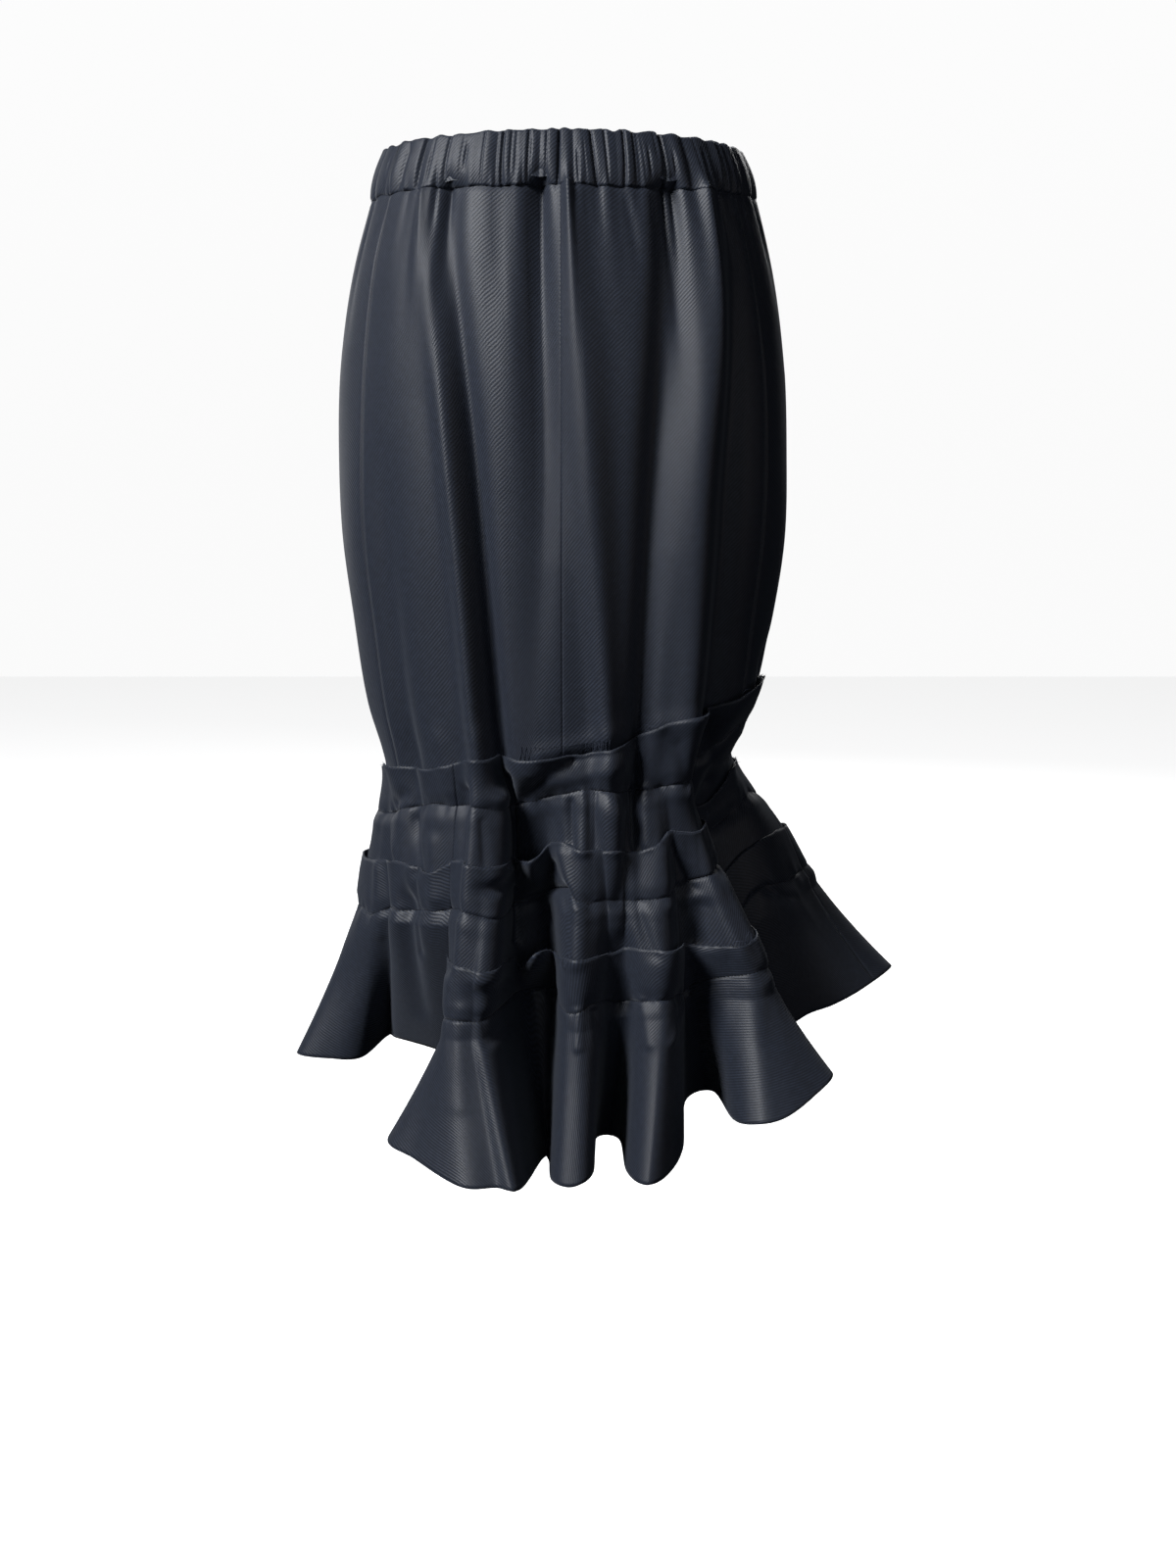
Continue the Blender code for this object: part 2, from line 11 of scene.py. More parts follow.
import bpy
import numpy as np
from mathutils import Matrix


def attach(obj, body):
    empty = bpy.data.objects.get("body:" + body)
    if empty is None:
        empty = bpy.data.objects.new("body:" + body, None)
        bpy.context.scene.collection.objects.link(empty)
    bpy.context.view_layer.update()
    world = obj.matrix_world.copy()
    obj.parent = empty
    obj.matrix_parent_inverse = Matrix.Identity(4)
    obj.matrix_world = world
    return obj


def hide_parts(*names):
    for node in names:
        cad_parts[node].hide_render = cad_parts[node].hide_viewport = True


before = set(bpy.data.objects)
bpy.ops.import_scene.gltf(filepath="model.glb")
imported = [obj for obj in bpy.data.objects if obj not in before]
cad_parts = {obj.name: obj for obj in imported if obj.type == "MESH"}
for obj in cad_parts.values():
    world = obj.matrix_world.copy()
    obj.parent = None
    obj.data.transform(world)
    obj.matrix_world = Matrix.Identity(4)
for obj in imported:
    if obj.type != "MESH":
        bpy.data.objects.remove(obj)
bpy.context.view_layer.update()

# ------------------------------
# Waistband: a casing of the skirt's own twill, folded over a wide elastic and sewn to the body panels.
# The elastic draws it into uneven gathers, narrow creases between round lobes, with a joining seam at the
# centre front and at each side.
# ------------------------------
BAND_WALL = 0.0030        # two layers of twill and the elastic between them
BAND_TOP = 0.0160
BAND_BOTTOM = -0.0270
BAND_SIDE_DIP = 0.0040    # of the top edge, over the hips
BAND_FULLNESS = 0.0016    # the swell between its two edges
BAND_INSIDE = 0.034       # how far the casing's inner face runs down
GATHERS = 44
GATHER_DEPTH = 0.0017     # of an average lobe, on each side of the mean
GATHER_DRIFT = ((5.5, 1.1), (16.5, 0.7))  # waves of uneven spacing round the band and their size
GATHER_SCALLOP = 0.0006   # how far each gather lifts the top edge
TOP_UNEVEN = 0.0007
EASE = 0.0003             # how far cloth or thread stands off what it lies on
GATHER_LEAN = 1.6         # degrees that a crease leans from the seam to the top edge
LOBE_ROUNDNESS = 0.45     # below 1 the crowns are broad and the creases narrow
LOBE_MEAN = 0.62          # what that curve comes to on the whole, taken off
SEAM_WANDER = 0.0011      # of the seam under the band, up and down
SEAM_TUCK = 0.0013        # how far the cloth rolls in at that seam
SEAM_ROLL = 0.0016        # height over which it rolls in
BAND_HOLLOW = 0.0022      # how far the casing draws in above the seam
BAND_HOLLOW_HEIGHT = 0.008
BODY_TUCK = 0.0040        # how far the body's top edge runs up behind the band
COLUMNS_A_GATHER = 26
CENTRE_FRONT = 0.0
SIDE = 8 * 360 / GATHERS


def table(fields, millimetres, rows):
    """Rows with named fields, where the fields that are given in millimetres are turned to metres."""
    row = namedtuple("Row", fields)
    scaled = [field in millimetres.split() for field in row._fields]
    return [row(*(np.array(value) / 1000 if turned else value for value, turned in zip(values, scaled)))
            for values in rows]


# Creases of the band that are deeper than the rest: heading, depth in mm and half width in degrees
BAND_CREASES = table("heading depth width", "depth", [
    (-76, 1.6, 0.7), (-60, 2.2, 0.7), (-53.2, 3.4, 0.6), (-49, 1, 0.5), (-43.5, 1.6, 0.5), (-36.5, 1.4, 0.6),
    (-30, 1, 0.4), (-22.8, 3.2, 0.6), (-19.6, 1.2, 0.4), (-13, 2.4, 0.7), (-6, 1.2, 0.5), (-1.2, 4, 0.5),
    (6.5, 1.4, 0.5), (12.8, 2.2, 0.6), (17.5, 1, 0.4), (24.2, 3, 0.6), (28, 1.2, 0.4), (33.5, 1.4, 0.5),
    (39, 3.4, 0.7), (42.5, 1.8, 0.4), (46.8, 1.4, 0.5), (54, 1.6, 0.5), (61.2, 3.6, 0.7), (67, 1.4, 0.5),
    (72, 2.4, 0.6), (88, 2.6, 0.7), (101, 1.8, 0.6), (119, 3.2, 0.7), (131, 2, 0.6), (139, 1.2, 0.4),
    (152, 3, 0.6), (163, 1.6, 0.5), (173, 1.2, 0.5), (184, 3.4, 0.7), (199, 2, 0.6), (205, 1, 0.4),
    (214, 3, 0.6), (236, 2.4, 0.6), (251, 3.4, 0.7), (260, 1.4, 0.5), (268, 1.8, 0.5), (276, 2.6, 0.6),
])
CREASE_FADE = 0.28        # share of the band's height over which a crease dies out at either end
PLEATS = 70               # fine pleats of the elastic, in seeded places
PLEAT_DEPTH = 0.0009      # of the deepest
PLEAT_WIDTHS = (0.28, 0.6)  # least and most half width in degrees

# Long folds of the body: heading, half width in degrees and reach outwards in mm, at three heights
FOLD_HEIGHTS = (-0.030, -0.210, -0.470)
BODY_FOLDS = table("name heads widths outs", "outs", [
    ("knee dent", (-57, -57, -57), (5, 5, 5), (0, 0, -7)),
    ("left ridge", (-47, -35.5, -29), (5, 4, 3.4), (3, 7, 8)),
    ("left trough", (-41, -30, -22.5), (5, 4, 3.2), (-4, -8, -8)),
    ("short dent", (-9, -6, -10), (5, 5, 4), (-4, -4, 0)),
    ("centre seam", (0, 0, 0), (4, 4, 4), (0, 0, 0)),
    ("centre ridge", (5, 8.5, 16), (6, 6, 4), (3, 6, 7)),
    ("right trough", (38, 31, 26.5), (5, 5, 4), (-5, -8, -8)),
    ("right ridge", (53, 44.5, 42), (6, 6, 5), (4, 7, 7)),
    ("edge trough", (60, 53, 52), (4, 4, 5), (-3, -4, -8)),
    ("right seam", (SIDE,) * 3, (4, 4, 4), (0, 0, 0)),
    ("back ridge right", (115, 122, 126), (7, 7, 6), (3, 6, 6)),
    ("back trough right", (128, 134, 138), (6, 6, 5), (-3, -7, -7)),
    ("back ridge middle", (166, 162, 158), (7, 7, 6), (3, 6, 7)),
    ("back trough middle", (180, 174, 169), (6, 6, 5), (-3, -7, -7)),
    ("back ridge left", (206, 209, 212), (7, 7, 6), (3, 6, 6)),
    ("back trough left", (219, 221, 223), (6, 6, 5), (-3, -7, -7)),
    ("side ridge left", (248, 243, 240), (7, 7, 6), (2, 5, 5)),
    ("left seam", (360 - SIDE,) * 3, (4, 4, 4), (0, 0, 0)),
])

# Creases that run down from the band, finer than the long folds: heading at the seam and at the lower
# end, length and reach (out if above 0) in mm, and half width in degrees
FAN_CREASES = table("top foot length reach width", "length reach", [
    (-66, -68, 50, -2, 1.2), (-58, -59, 80, 1.6, 1.8), (-50, -45, 160, 3.4, 2), (-46, -43.5, 70, -3, 1),
    (-42, -37, 220, -4.2, 2.4), (-34, -32, 100, 1.8, 2.6), (-26, -25, 60, 1.6, 1.6),
    (-22, -19, 100, -3.2, 1.6), (-8, -5, 290, -8.5, 4.4), (-17, -16, 240, 3, 3), (-15, -15, 30, -1.6, 0.8),
    (-11.5, -12, 60, -1.4, 1), (2.5, 6.5, 280, 4.8, 2.4), (9, 11, 130, -1.8, 2.2), (13.5, 14, 45, -1.4, 0.9),
    (17, 18, 120, 2, 2.6), (23.5, 27, 70, -2.4, 1), (31, 29, 90, 1.8, 2.2), (38, 38, 120, -4.2, 1.2),
    (42, 35, 280, -5.8, 2.6), (51, 48, 240, 4.4, 2.4), (55.5, 55, 30, 1.8, 0.9), (58.5, 59, 70, -2.8, 1.1),
    (63, 62, 110, 1.6, 1.8), (67, 68, 130, -2.8, 1.3), (78, 80, 90, -2.4, 1.6), (88, 90, 140, -3, 1.7),
    (101, 103.5, 80, -2.2, 1.4), (109, 112, 120, 2.4, 2.2), (119, 124, 190, -4, 2.2),
    (131, 135, 110, -2.8, 1.4), (141, 142, 90, 2.2, 2), (152, 150, 210, -3.8, 2.4),
    (163, 160, 80, -2.2, 1.3), (172, 169, 130, 2.4, 2.2), (184, 180, 230, -4.2, 2.4), (191, 192, 60, -2, 1),
    (199, 202, 120, -2.8, 1.6), (207, 208, 90, 2, 2), (214, 217, 180, -3.6, 2.2), (226, 228, 90, 2.2, 2),
    (236, 235, 110, -2.8, 1.5), (251, 247, 200, -3.8, 2.2), (260, 259, 60, 1.8, 1.6),
    (268, 266, 90, -2.2, 1.4), (283, 282, 120, -3, 1.5),
])
LONG_SHARE = 1.55         # the long folds stand this much further out than in the solids
FAN_DEPTH = 0.0011        # how far the band's own gathers run on into the cloth below it
FAN_FADE = 0.014          # drop over which they die out

# Rings of the plain form: height and reach to the left, right, front and back in mm, and squareness
SECTIONS = table("height left right front back square", "height left right front back", [
    (16, 143, 142, 106, 110, 2.2), (-27, 157, 158, 115, 121, 2.2), (-75, 171, 171, 124, 134, 2.2),
    (-150, 183, 183, 133, 148, 2.2), (-230, 187, 187, 137, 150, 2.2), (-300, 186, 186, 137, 144, 2.2),
    (-370, 177, 176, 134, 138, 2.25), (-440, 166, 163, 130, 134, 2.3), (-495, 152, 139, 127, 133, 2.35),
    (-560, 160, 152, 136, 138, 2.35), (-640, 172, 170, 150, 150, 2.4), (-710, 178, 180, 156, 156, 2.4),
])

TWILL_HEX = "161a23"      # charcoal with a blue cast
TWILL_RIB_SHEEN_HEX = "2e3544"  # on the ribs: partly the weave's own lighter face yarns, partly painted sheen of the rib tops
TWILL_PITCH = 0.0022      # from one diagonal rib to the next
TWILL_ANGLE = 50          # degrees that the ribs climb from the weft


def glide(x, known_x, known_y):
    """Curve through known points: a cubic on each span, with the slope between the neighbours."""
    known_x = np.asarray(known_x, float)
    known_y = np.asarray(known_y, float)
    slope = np.gradient(known_y, known_x)
    x = np.clip(x, known_x[0], known_x[-1])
    span = np.clip(np.searchsorted(known_x, x, side="right") - 1, 0, len(known_x) - 2)
    width = known_x[span + 1] - known_x[span]
    s = (x - known_x[span]) / width
    start = known_y[span] * (1 + 2 * s) * (1 - s) ** 2 + known_y[span + 1] * s * s * (3 - 2 * s)
    return start + width * s * (1 - s) * (slope[span] * (1 - s) - slope[span + 1] * s)


def smooth_step(x):
    """0 below 0, 1 above 1 and an even rise between: x * x * (3 - 2 * x)."""
    x = np.clip(x, 0.0, 1.0)
    return x * x * (3 - 2 * x)


def bell(distance, width):
    """1 at distance 0 and falling away on both sides: exp(-(distance / width) ^ 2)."""
    return np.exp(-((distance / width) ** 2))


def degrees_from(line, heading):
    """Degrees from a line's heading to another, the short way round."""
    return (heading - line + 180) % 360 - 180


def column(rows, name):
    """One named column of a table."""
    return np.array([getattr(row, name) for row in rows], float)


def ring(heading, height):
    """Point of the plain form and its outward direction: |x/a|^n + |y/b|^n = 1 in polar form."""
    rows = SECTIONS[::-1]
    left, right, front, back, square = (
        glide(height, column(rows, "height"), column(rows, name))
        for name in ("left", "right", "front", "back", "square")
    )
    sine = np.sin(np.radians(heading))
    cosine = np.cos(np.radians(heading))
    a = np.where(sine >= 0, right, left)
    b = np.where(cosine >= 0, front, back)
    reach = (np.abs(sine / a) ** square + np.abs(cosine / b) ** square) ** (-1 / square)
    x = reach * sine
    y = -reach * cosine
    normal_x = np.sign(x) * np.abs(x) ** (square - 1) / a ** square
    normal_y = np.sign(y) * np.abs(y) ** (square - 1) / b ** square
    length = np.hypot(normal_x, normal_y)
    return x, y, normal_x / length, normal_y / length


def uneven(heading, count, seed, low, high):
    """Smooth random value round the skirt: count seeded values from low to high, joined by smooth_step."""
    values = np.random.default_rng(seed).uniform(low, high, count)
    place = np.asarray(heading) / 360 * count
    before = np.floor(place).astype(int)
    rise = smooth_step(place - before)
    return values[before % count] * (1 - rise) + values[(before + 1) % count] * rise


def gather_wave(heading):
    """The gathers' own wave, from -1 in a crease to 1 on a crown: sin(GATHERS * heading + drift)."""
    drift = sum(size * np.sin(np.radians(waves * heading)) for waves, size in GATHER_DRIFT)
    return np.sin(np.radians(GATHERS * heading) + drift)


def gather_relief(heading):
    """Reach of the gathers: lobes ((wave + 1) / 2) ^ LOBE_ROUNDNESS of uneven size."""
    lobes = ((gather_wave(heading) + 1) / 2) ** LOBE_ROUNDNESS - LOBE_MEAN
    return GATHER_DEPTH * lobes * 2 * uneven(heading, 3 * GATHERS // 2, 11, 0.05, 1.2)


def pleat_relief(heading, share):
    """Narrow creases: bells across the heading, each over its own part of the band's height."""
    seeded = np.random.default_rng(23)
    count = len(BAND_CREASES) + PLEATS
    low = seeded.uniform(-0.7, 0.4, count)
    high = seeded.uniform(0.7, 1.7, count)
    place = np.append(column(BAND_CREASES, "heading"), seeded.uniform(0, 360, PLEATS))
    depth = np.append(column(BAND_CREASES, "depth"), PLEAT_DEPTH * seeded.uniform(0.1, 1, PLEATS) ** 1.5)
    width = np.append(column(BAND_CREASES, "width"), seeded.uniform(*PLEAT_WIDTHS, PLEATS))
    relief = np.zeros(np.broadcast(heading, share).shape)
    for row in range(count):
        fade = smooth_step((share - low[row]) / CREASE_FADE) * smooth_step((high[row] - share) / CREASE_FADE)
        relief = relief - depth[row] * fade * bell(degrees_from(place[row], heading), width[row])
    return relief


def seam_height(heading):
    """Height of the seam under the band, which wanders with the gathers."""
    return BAND_BOTTOM + SEAM_WANDER * (uneven(heading, 61, 5, -1, 1) + 0.4 * gather_wave(heading))


def body_relief(heading, height):
    """Reach of the body's long folds: a soft bell across each fold's own line, summed."""
    levels = np.array(FOLD_HEIGHTS[::-1])
    relief = np.zeros(np.broadcast(heading, height).shape)
    for fold in BODY_FOLDS:
        line = glide(height, levels, fold.heads[::-1])
        width = glide(height, levels, fold.widths[::-1])
        out = np.interp(height, levels, fold.outs[::-1])
        relief = relief + out * bell(degrees_from(line, heading), width)
    return relief


def fan_relief(heading, height):
    """What runs down from the band: its gathers dying out, and the longer creases of FAN_CREASES."""
    drop = np.maximum(seam_height(heading) - height, 0)
    fade = np.exp(-drop / (FAN_FADE * uneven(heading, 50, 17, 0.5, 2.2)))
    relief = FAN_DEPTH * gather_wave(heading) * uneven(heading, 66, 19, 0.3, 1.4) * fade
    for crease in FAN_CREASES:
        share = np.clip(drop / crease.length, 0, 1)
        line = crease.top + (crease.foot - crease.top) * share
        width = crease.width * (0.55 + 1.6 * share)
        relief = relief + crease.reach * (1 - share) ** 0.8 * bell(degrees_from(line, heading), width)
    return relief


def lifted(x, y, normal_x, normal_y, out, height):
    """Points at a level distance out from a surface's own points."""
    return np.stack([x + normal_x * out, y + normal_y * out, height], axis=-1)


def seam_roll(drop):
    """How far cloth rolls in at a seam, at a distance from it: a quarter of an ellipse."""
    rolled = np.clip(1 - drop / SEAM_ROLL, 0, 1)
    return SEAM_TUCK * (1 - np.sqrt(1 - rolled ** 2))


def linear(hex_colour):
    """An sRGB hex colour as linear RGBA: ((c + 0.055) / 1.055) ^ 2.4 above the toe."""
    channels = [int(hex_colour[i:i + 2], 16) / 255 for i in (0, 2, 4)]
    return (*[c / 12.92 if c <= 0.04045 else ((c + 0.055) / 1.055) ** 2.4 for c in channels], 1.0)


def add_node(tree, kind, inputs=None, **settings):
    """A shader node with its settings, and its inputs set to values or linked to other nodes' sockets."""
    node = tree.nodes.new(kind)
    for name, value in settings.items():
        setattr(node, name, value)
    for name, value in (inputs or {}).items():
        if isinstance(value, bpy.types.NodeSocket):
            tree.links.new(value, node.inputs[name])
        else:
            node.inputs[name].default_value = value
    return node


def new_material(name, values):
    """A node material, its tree and its Principled shader with some of its own values set."""
    material = bpy.data.materials.new(name)
    material.use_nodes = True
    shader = material.node_tree.nodes["Principled BSDF"]
    for socket, value in values.items():
        shader.inputs[socket].default_value = value
    return material, material.node_tree, shader


def twill_material():
    """Charcoal gabardine: fine steep ribs catching a satin light, coloured lighter on them in a mottle: weave
    pattern and painted sheen.
    """
    material, tree, shader = new_material("charcoal_gabardine", {
        "Roughness": 0.52, "Specular IOR Level": 0.35, "Sheen Weight": 0.12, "Sheen Roughness": 0.5,
        "Sheen Tint": (0.75, 0.8, 0.9, 1)})
    uv = add_node(tree, "ShaderNodeTexCoord").outputs["UV"]
    turned = add_node(tree, "ShaderNodeMapping", {
        "Vector": uv, "Rotation": (0, 0, math.radians(90 - TWILL_ANGLE))}).outputs["Vector"]
    # One sine of the Wave texture is 2 pi / 20 of a unit long at scale 1.
    ribs = add_node(tree, "ShaderNodeTexWave", {
        "Vector": turned, "Scale": 2 * math.pi / 20 / TWILL_PITCH, "Distortion": 0.6, "Detail": 1.0,
        "Detail Scale": 0.02}, wave_type="BANDS", bands_direction="X")
    yarns = add_node(tree, "ShaderNodeTexNoise", {"Vector": uv, "Scale": 900.0, "Detail": 2.0})
    mottle = add_node(tree, "ShaderNodeTexNoise", {"Vector": uv, "Scale": 190.0, "Detail": 3.0})
    # Painted sheen: the ribs, weighted by the mottle, are coloured towards the lighter rib colour, which is
    # partly the weave's own pattern.
    face = add_node(tree, "ShaderNodeMath", {0: ribs.outputs["Fac"], 1: mottle.outputs["Fac"]},
                    operation="MULTIPLY")
    colour = add_node(tree, "ShaderNodeMix", {
        "Factor": face.outputs[0], "A": linear(TWILL_HEX), "B": linear(TWILL_RIB_SHEEN_HEX)}, data_type="RGBA")
    tree.links.new(colour.outputs["Result"], shader.inputs["Base Color"])
    ground = add_node(tree, "ShaderNodeBump", {
        "Strength": 0.35, "Distance": 0.0003, "Height": yarns.outputs["Fac"]})
    relief = add_node(tree, "ShaderNodeBump", {
        "Strength": 0.3, "Distance": 0.0004, "Height": ribs.outputs["Fac"], "Normal": ground.outputs[0]})
    tree.links.new(relief.outputs["Normal"], shader.inputs["Normal"])
    return material


TWILL = twill_material()


def arc_uv(points, sector):
    """The cut's own plan of a grid, in metres: along the rows, and down each column.

    A sector is part of a ring instead, as a flounce is cut, with the lengths of the top and bottom rows.
    """
    across = np.linalg.norm(np.diff(points, axis=1), axis=-1)
    down = np.linalg.norm(np.diff(points, axis=0), axis=-1)
    v = np.concatenate([np.zeros((1, points.shape[1])), np.cumsum(down, axis=0)])
    u = np.concatenate([[0], np.cumsum(across.mean(axis=0))]) + np.zeros_like(v)
    if sector:
        top, bottom, drop = across[0].sum(), across[-1].sum(), v[-1].mean()
        turn = (bottom - top) / drop
        radius = top / turn + v
        angle = turn * (u / u[:, -1:] - 0.5)
        u, v = radius * np.sin(angle), radius * np.cos(angle)
    return np.stack([u, -v], axis=-1)


def new_object(name, data):
    """A new object of the scene."""
    thing = bpy.data.objects.new(name, data)
    bpy.context.scene.collection.objects.link(thing)
    return thing


def quad_piece(name, points, faces, material):
    """A smooth-shaded object from points and four-cornered faces, riding on the skirt."""
    mesh = bpy.data.meshes.new(name)
    mesh.vertices.add(points.size // 3)
    mesh.vertices.foreach_set("co", points.astype(np.float32).ravel())
    mesh.loops.add(faces.size)
    mesh.loops.foreach_set("vertex_index", faces.ravel().astype(np.int32))
    mesh.polygons.add(faces.size // 4)
    mesh.polygons.foreach_set("loop_start", np.arange(0, faces.size, 4, dtype=np.int32))
    mesh.update(calc_edges=True)
    mesh.shade_smooth()
    mesh.materials.append(material)
    piece = new_object(name, mesh)
    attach(piece, "root")
    return piece


def cloth_piece(name, points, node, wall=None, sector=False):
    """A piece of cloth from a grid of points, with a Solidify wall if the grid isn't its whole surface."""
    rows, columns = points.shape[:2]
    corner = np.arange(rows * columns).reshape(rows, columns)
    faces = np.stack([corner[:-1, :-1], corner[1:, :-1], corner[1:, 1:], corner[:-1, 1:]], axis=-1)
    piece = quad_piece(name, points, faces, TWILL)
    plan = arc_uv(points, sector).reshape(-1, 2)[faces.ravel()]
    piece.data.uv_layers.new(name="cut").data.foreach_set("uv", plan.astype(np.float32).ravel())
    if wall:
        solidify = piece.modifiers.new("wall", "SOLIDIFY")
        solidify.thickness = wall
        solidify.offset = 0.0
    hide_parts(node)
    return piece


def band_points(first, last):
    """A length of the casing, up its inner face, over the fold and down its outer face to the seam."""
    count = round((last - first) / 360 * GATHERS * COLUMNS_A_GATHER)
    heading = np.linspace(first, last, count + 1)[None, :]
    side = np.sin(np.radians(heading)) ** 2
    top = BAND_TOP - BAND_SIDE_DIP * side + GATHER_SCALLOP * gather_wave(heading)
    top = top + uneven(heading, 120, 21, -TOP_UNEVEN, TOP_UNEVEN)
    foot = seam_height(heading)
    rounding = BAND_WALL / 2 + EASE
    up = np.linspace(0, 1, 16)[:, None]
    over = np.radians(np.linspace(0, 180, 13))[1:-1, None]
    down = 1 - np.linspace(0, 1, 36)[:, None] ** 0.8
    height = np.concatenate([
        top - rounding - BAND_INSIDE * (1 - up),
        top - rounding + rounding * np.sin(over),
        foot + (top - rounding - foot) * down,
    ])
    face = np.concatenate([
        np.full(up.shape, -1.0), -np.cos(over), np.full(down.shape, 1.0),
    ]) * rounding
    share = np.clip((height - foot) / (top - foot), 0, 1)
    fullness = np.sin(np.pi * share)
    lean = GATHER_LEAN * uneven(heading, 30, 8, -1, 1) * (share - 0.3)
    out = BAND_WALL / 2 + BAND_FULLNESS * fullness + face
    near_seam = np.exp(-(height - foot) / BAND_HOLLOW_HEIGHT)
    out = out + gather_relief(heading + lean) * (0.62 + 0.38 * fullness) * (1 - 0.6 * near_seam)
    out = out + pleat_relief(heading + lean, share) * (1 - 0.7 * near_seam)
    below = LONG_SHARE * body_relief(heading, BAND_BOTTOM) + fan_relief(heading, BAND_BOTTOM)
    out = out + (below - BAND_HOLLOW) * near_seam * (face > 0)
    out = out - seam_roll(height - foot) * (face > 0)
    return lifted(*ring(heading, height), out, height)


# Each length of the casing, and the width of its cut
for name, first, last, width in (
    ("front_left", -SIDE, CENTRE_FRONT, 0.187), ("front_right", CENTRE_FRONT, SIDE, 0.187),
    ("back", SIDE, 360 - SIDE, 0.69),
):
    casing = cloth_piece("casing_" + name, band_points(first, last), "waistband_" + name)

# ------------------------------
# Body: two front panels and a back panel of the same twill, cut egg-shaped and narrow at the knee. The
# gathers of the band fan out into long soft folds, and the stitch lines of the wound strip draw the cloth
# in below the knee.
# ------------------------------
CLOTH = 0.0014            # wall of the twill
LAYER_GAP = 0.0009        # space between two layers
SEAM_ALLOWANCE = 0.010    # how far a layer runs on below the stitch line that holds it
STANDING = 0.039          # from the strip's raw upper edge down to its stitch line
START = 95.0              # heading where the strip begins and each turn meets the next
STAND_OUT = 0.0022        # how far a raw edge stands off the cloth behind it
PINCH = 0.0017            # how far a stitch line is drawn in, on the whole
PINCH_REACH = 0.007       # height over which it is drawn in
START_FADE = 14.0         # degrees over which the stitch line begins to draw in
KNEE = -0.485             # height where the ruffle's folds begin to grow
SWING = 0.85              # share of the hem's way outwards that is straight
HIGH_LEVEL = 0.35         # where "high" holds, as a share of the way from there to the lowest stitch line
END_FOLDS = 3             # folds of turn two's end that grow as slowly as those of turn three
COLUMNS_A_FOLD = 14
COLUMNS_A_BODY_FOLD = 9

# Folds of the ruffle round the hem, from the last turn's end at the front left: headings at the knee and
# at the lowest stitch line, then in mm the reach outwards at HIGH_LEVEL and at that line, and the hem's
# own place
HEM_FOLDS = table("knee seam high low x y z", "high low x y z", [
    # the end, turned in
    (-37, -36.5, -4, -20, -112, -62, -775),
    # first flute
    (-35, -35, 0, -6, -144, -135, -787), (-33, -33.5, 4, 8, -119, -172, -792),
    (-31, -31, 8, 14, -80, -212, -800), (-27, -25.5, 8, 14, -52, -214, -800),
    (-24, -21, 0, 8, -33, -215, -801),
    # deep valley
    (-20, -16, -34, -56, -18, -115, -813), (-7, -3, -34, -66, -12, -112, -815),
    # second flute
    (1, 0.5, -8, -8, -8, -190, -803), (6, 4.5, 2, 6, 8, -210, -801), (11, 9, 0, 0, 24, -190, -797),
    # valley
    (15, 14, -8, -18, 27, -92, -803), (20, 20, -8, -18, 47, -94, -803),
    # third flute
    (24, 24, 0, 2, 52, -178, -800), (28, 28, 4, 12, 66, -208, -800), (32, 32, 2, 6, 83, -195, -797),
    (35, 36, -4, -8, 97, -163, -786),
    # valley
    (38, 39.5, -10, -20, 103, -85, -772), (41, 44, -8, -14, 127, -78, -766),
    # fourth flute
    (43.5, 48, 0, 12, 139, -160, -763), (45.5, 50, 6, 30, 156, -185, -758),
    (47.5, 52.5, 9, 36, 178, -184, -753), (49.5, 55, 10, 36, 202, -168, -741),
    (51.5, 57.5, 4, 26, 220, -142, -730), (54, 60.5, -16, -4, 200, -95, -732),
    # valley and flute of the right side
    (61, 66, -28, -22, 178, -55, -732), (72, 74, -8, 6, 208, -32, -714), (82, 83, 14, 26, 235, -20, -707),
    (91, 93, 23, 46, 262, -8, -696), (99, 102, 25, 62, 292, 24, -684), (107, 111, 14, 44, 276, 68, -697),
    # back, five flutes between six valleys
    (116, 119, -6, -6, 212, 94, -725), (124, 126, 6, 16, 222, 145, -717), (132, 133, 6, 14, 182, 190, -720),
    (140, 141, -12, -24, 122, 140, -745), (149, 149, 4, 8, 108, 205, -735), (157, 157, 4, 8, 65, 220, -735),
    (166, 166, -12, -26, 38, 145, -755), (176, 176, 4, 8, 16, 213, -742), (185, 185, 4, 8, -28, 224, -742),
    (194, 194, -14, -28, -48, 150, -757), (203, 203, 4, 8, -82, 218, -742),
    (212, 212, 4, 10, -125, 205, -742), (221, 221, -10, -22, -128, 138, -757),
    (231, 231, 4, 8, -185, 168, -750), (240, 240, 4, 8, -213, 128, -748),
    (248, 248, -10, -25, -168, 80, -762),
    # left side
    (256, 257, 0, 2, -222, 55, -757), (264, 265, 4, 10, -238, 0, -757), (271, 273, 4, 8, -206, -16, -757),
    (278, 280, -2, -4, -180, -12, -757), (286, 287, -8, -20, -160, 20, -747),
    (296, 297, -4, -12, -148, -6, -741), (310, 310, -4, -14, -117, -33, -741),
    # end of turn two
    (323, 323.5, -4, -20, -96, -45, -745),
])
T_END = len(HEM_FOLDS) - 1

# The strip's raw upper edge, from its start at the right side: degrees wound and height in mm
STRIP_PATH = {
    0: -420, 27: -422, 38: -431, 55: -442, 74: -458, 97: -471, 125: -474, 140: -482, 160: -487, 185: -498,
    275: -502, 355: -503, 385: -512, 398: -527, 424: -543, 449: -545, 465: -552, 500: -565, 545: -577,
    635: -575, 715: -561, 729: -565, 742: -573, 752: -598, 761: -614, 782: -627, 795: -635, 825: -642,
    869: -652,
}

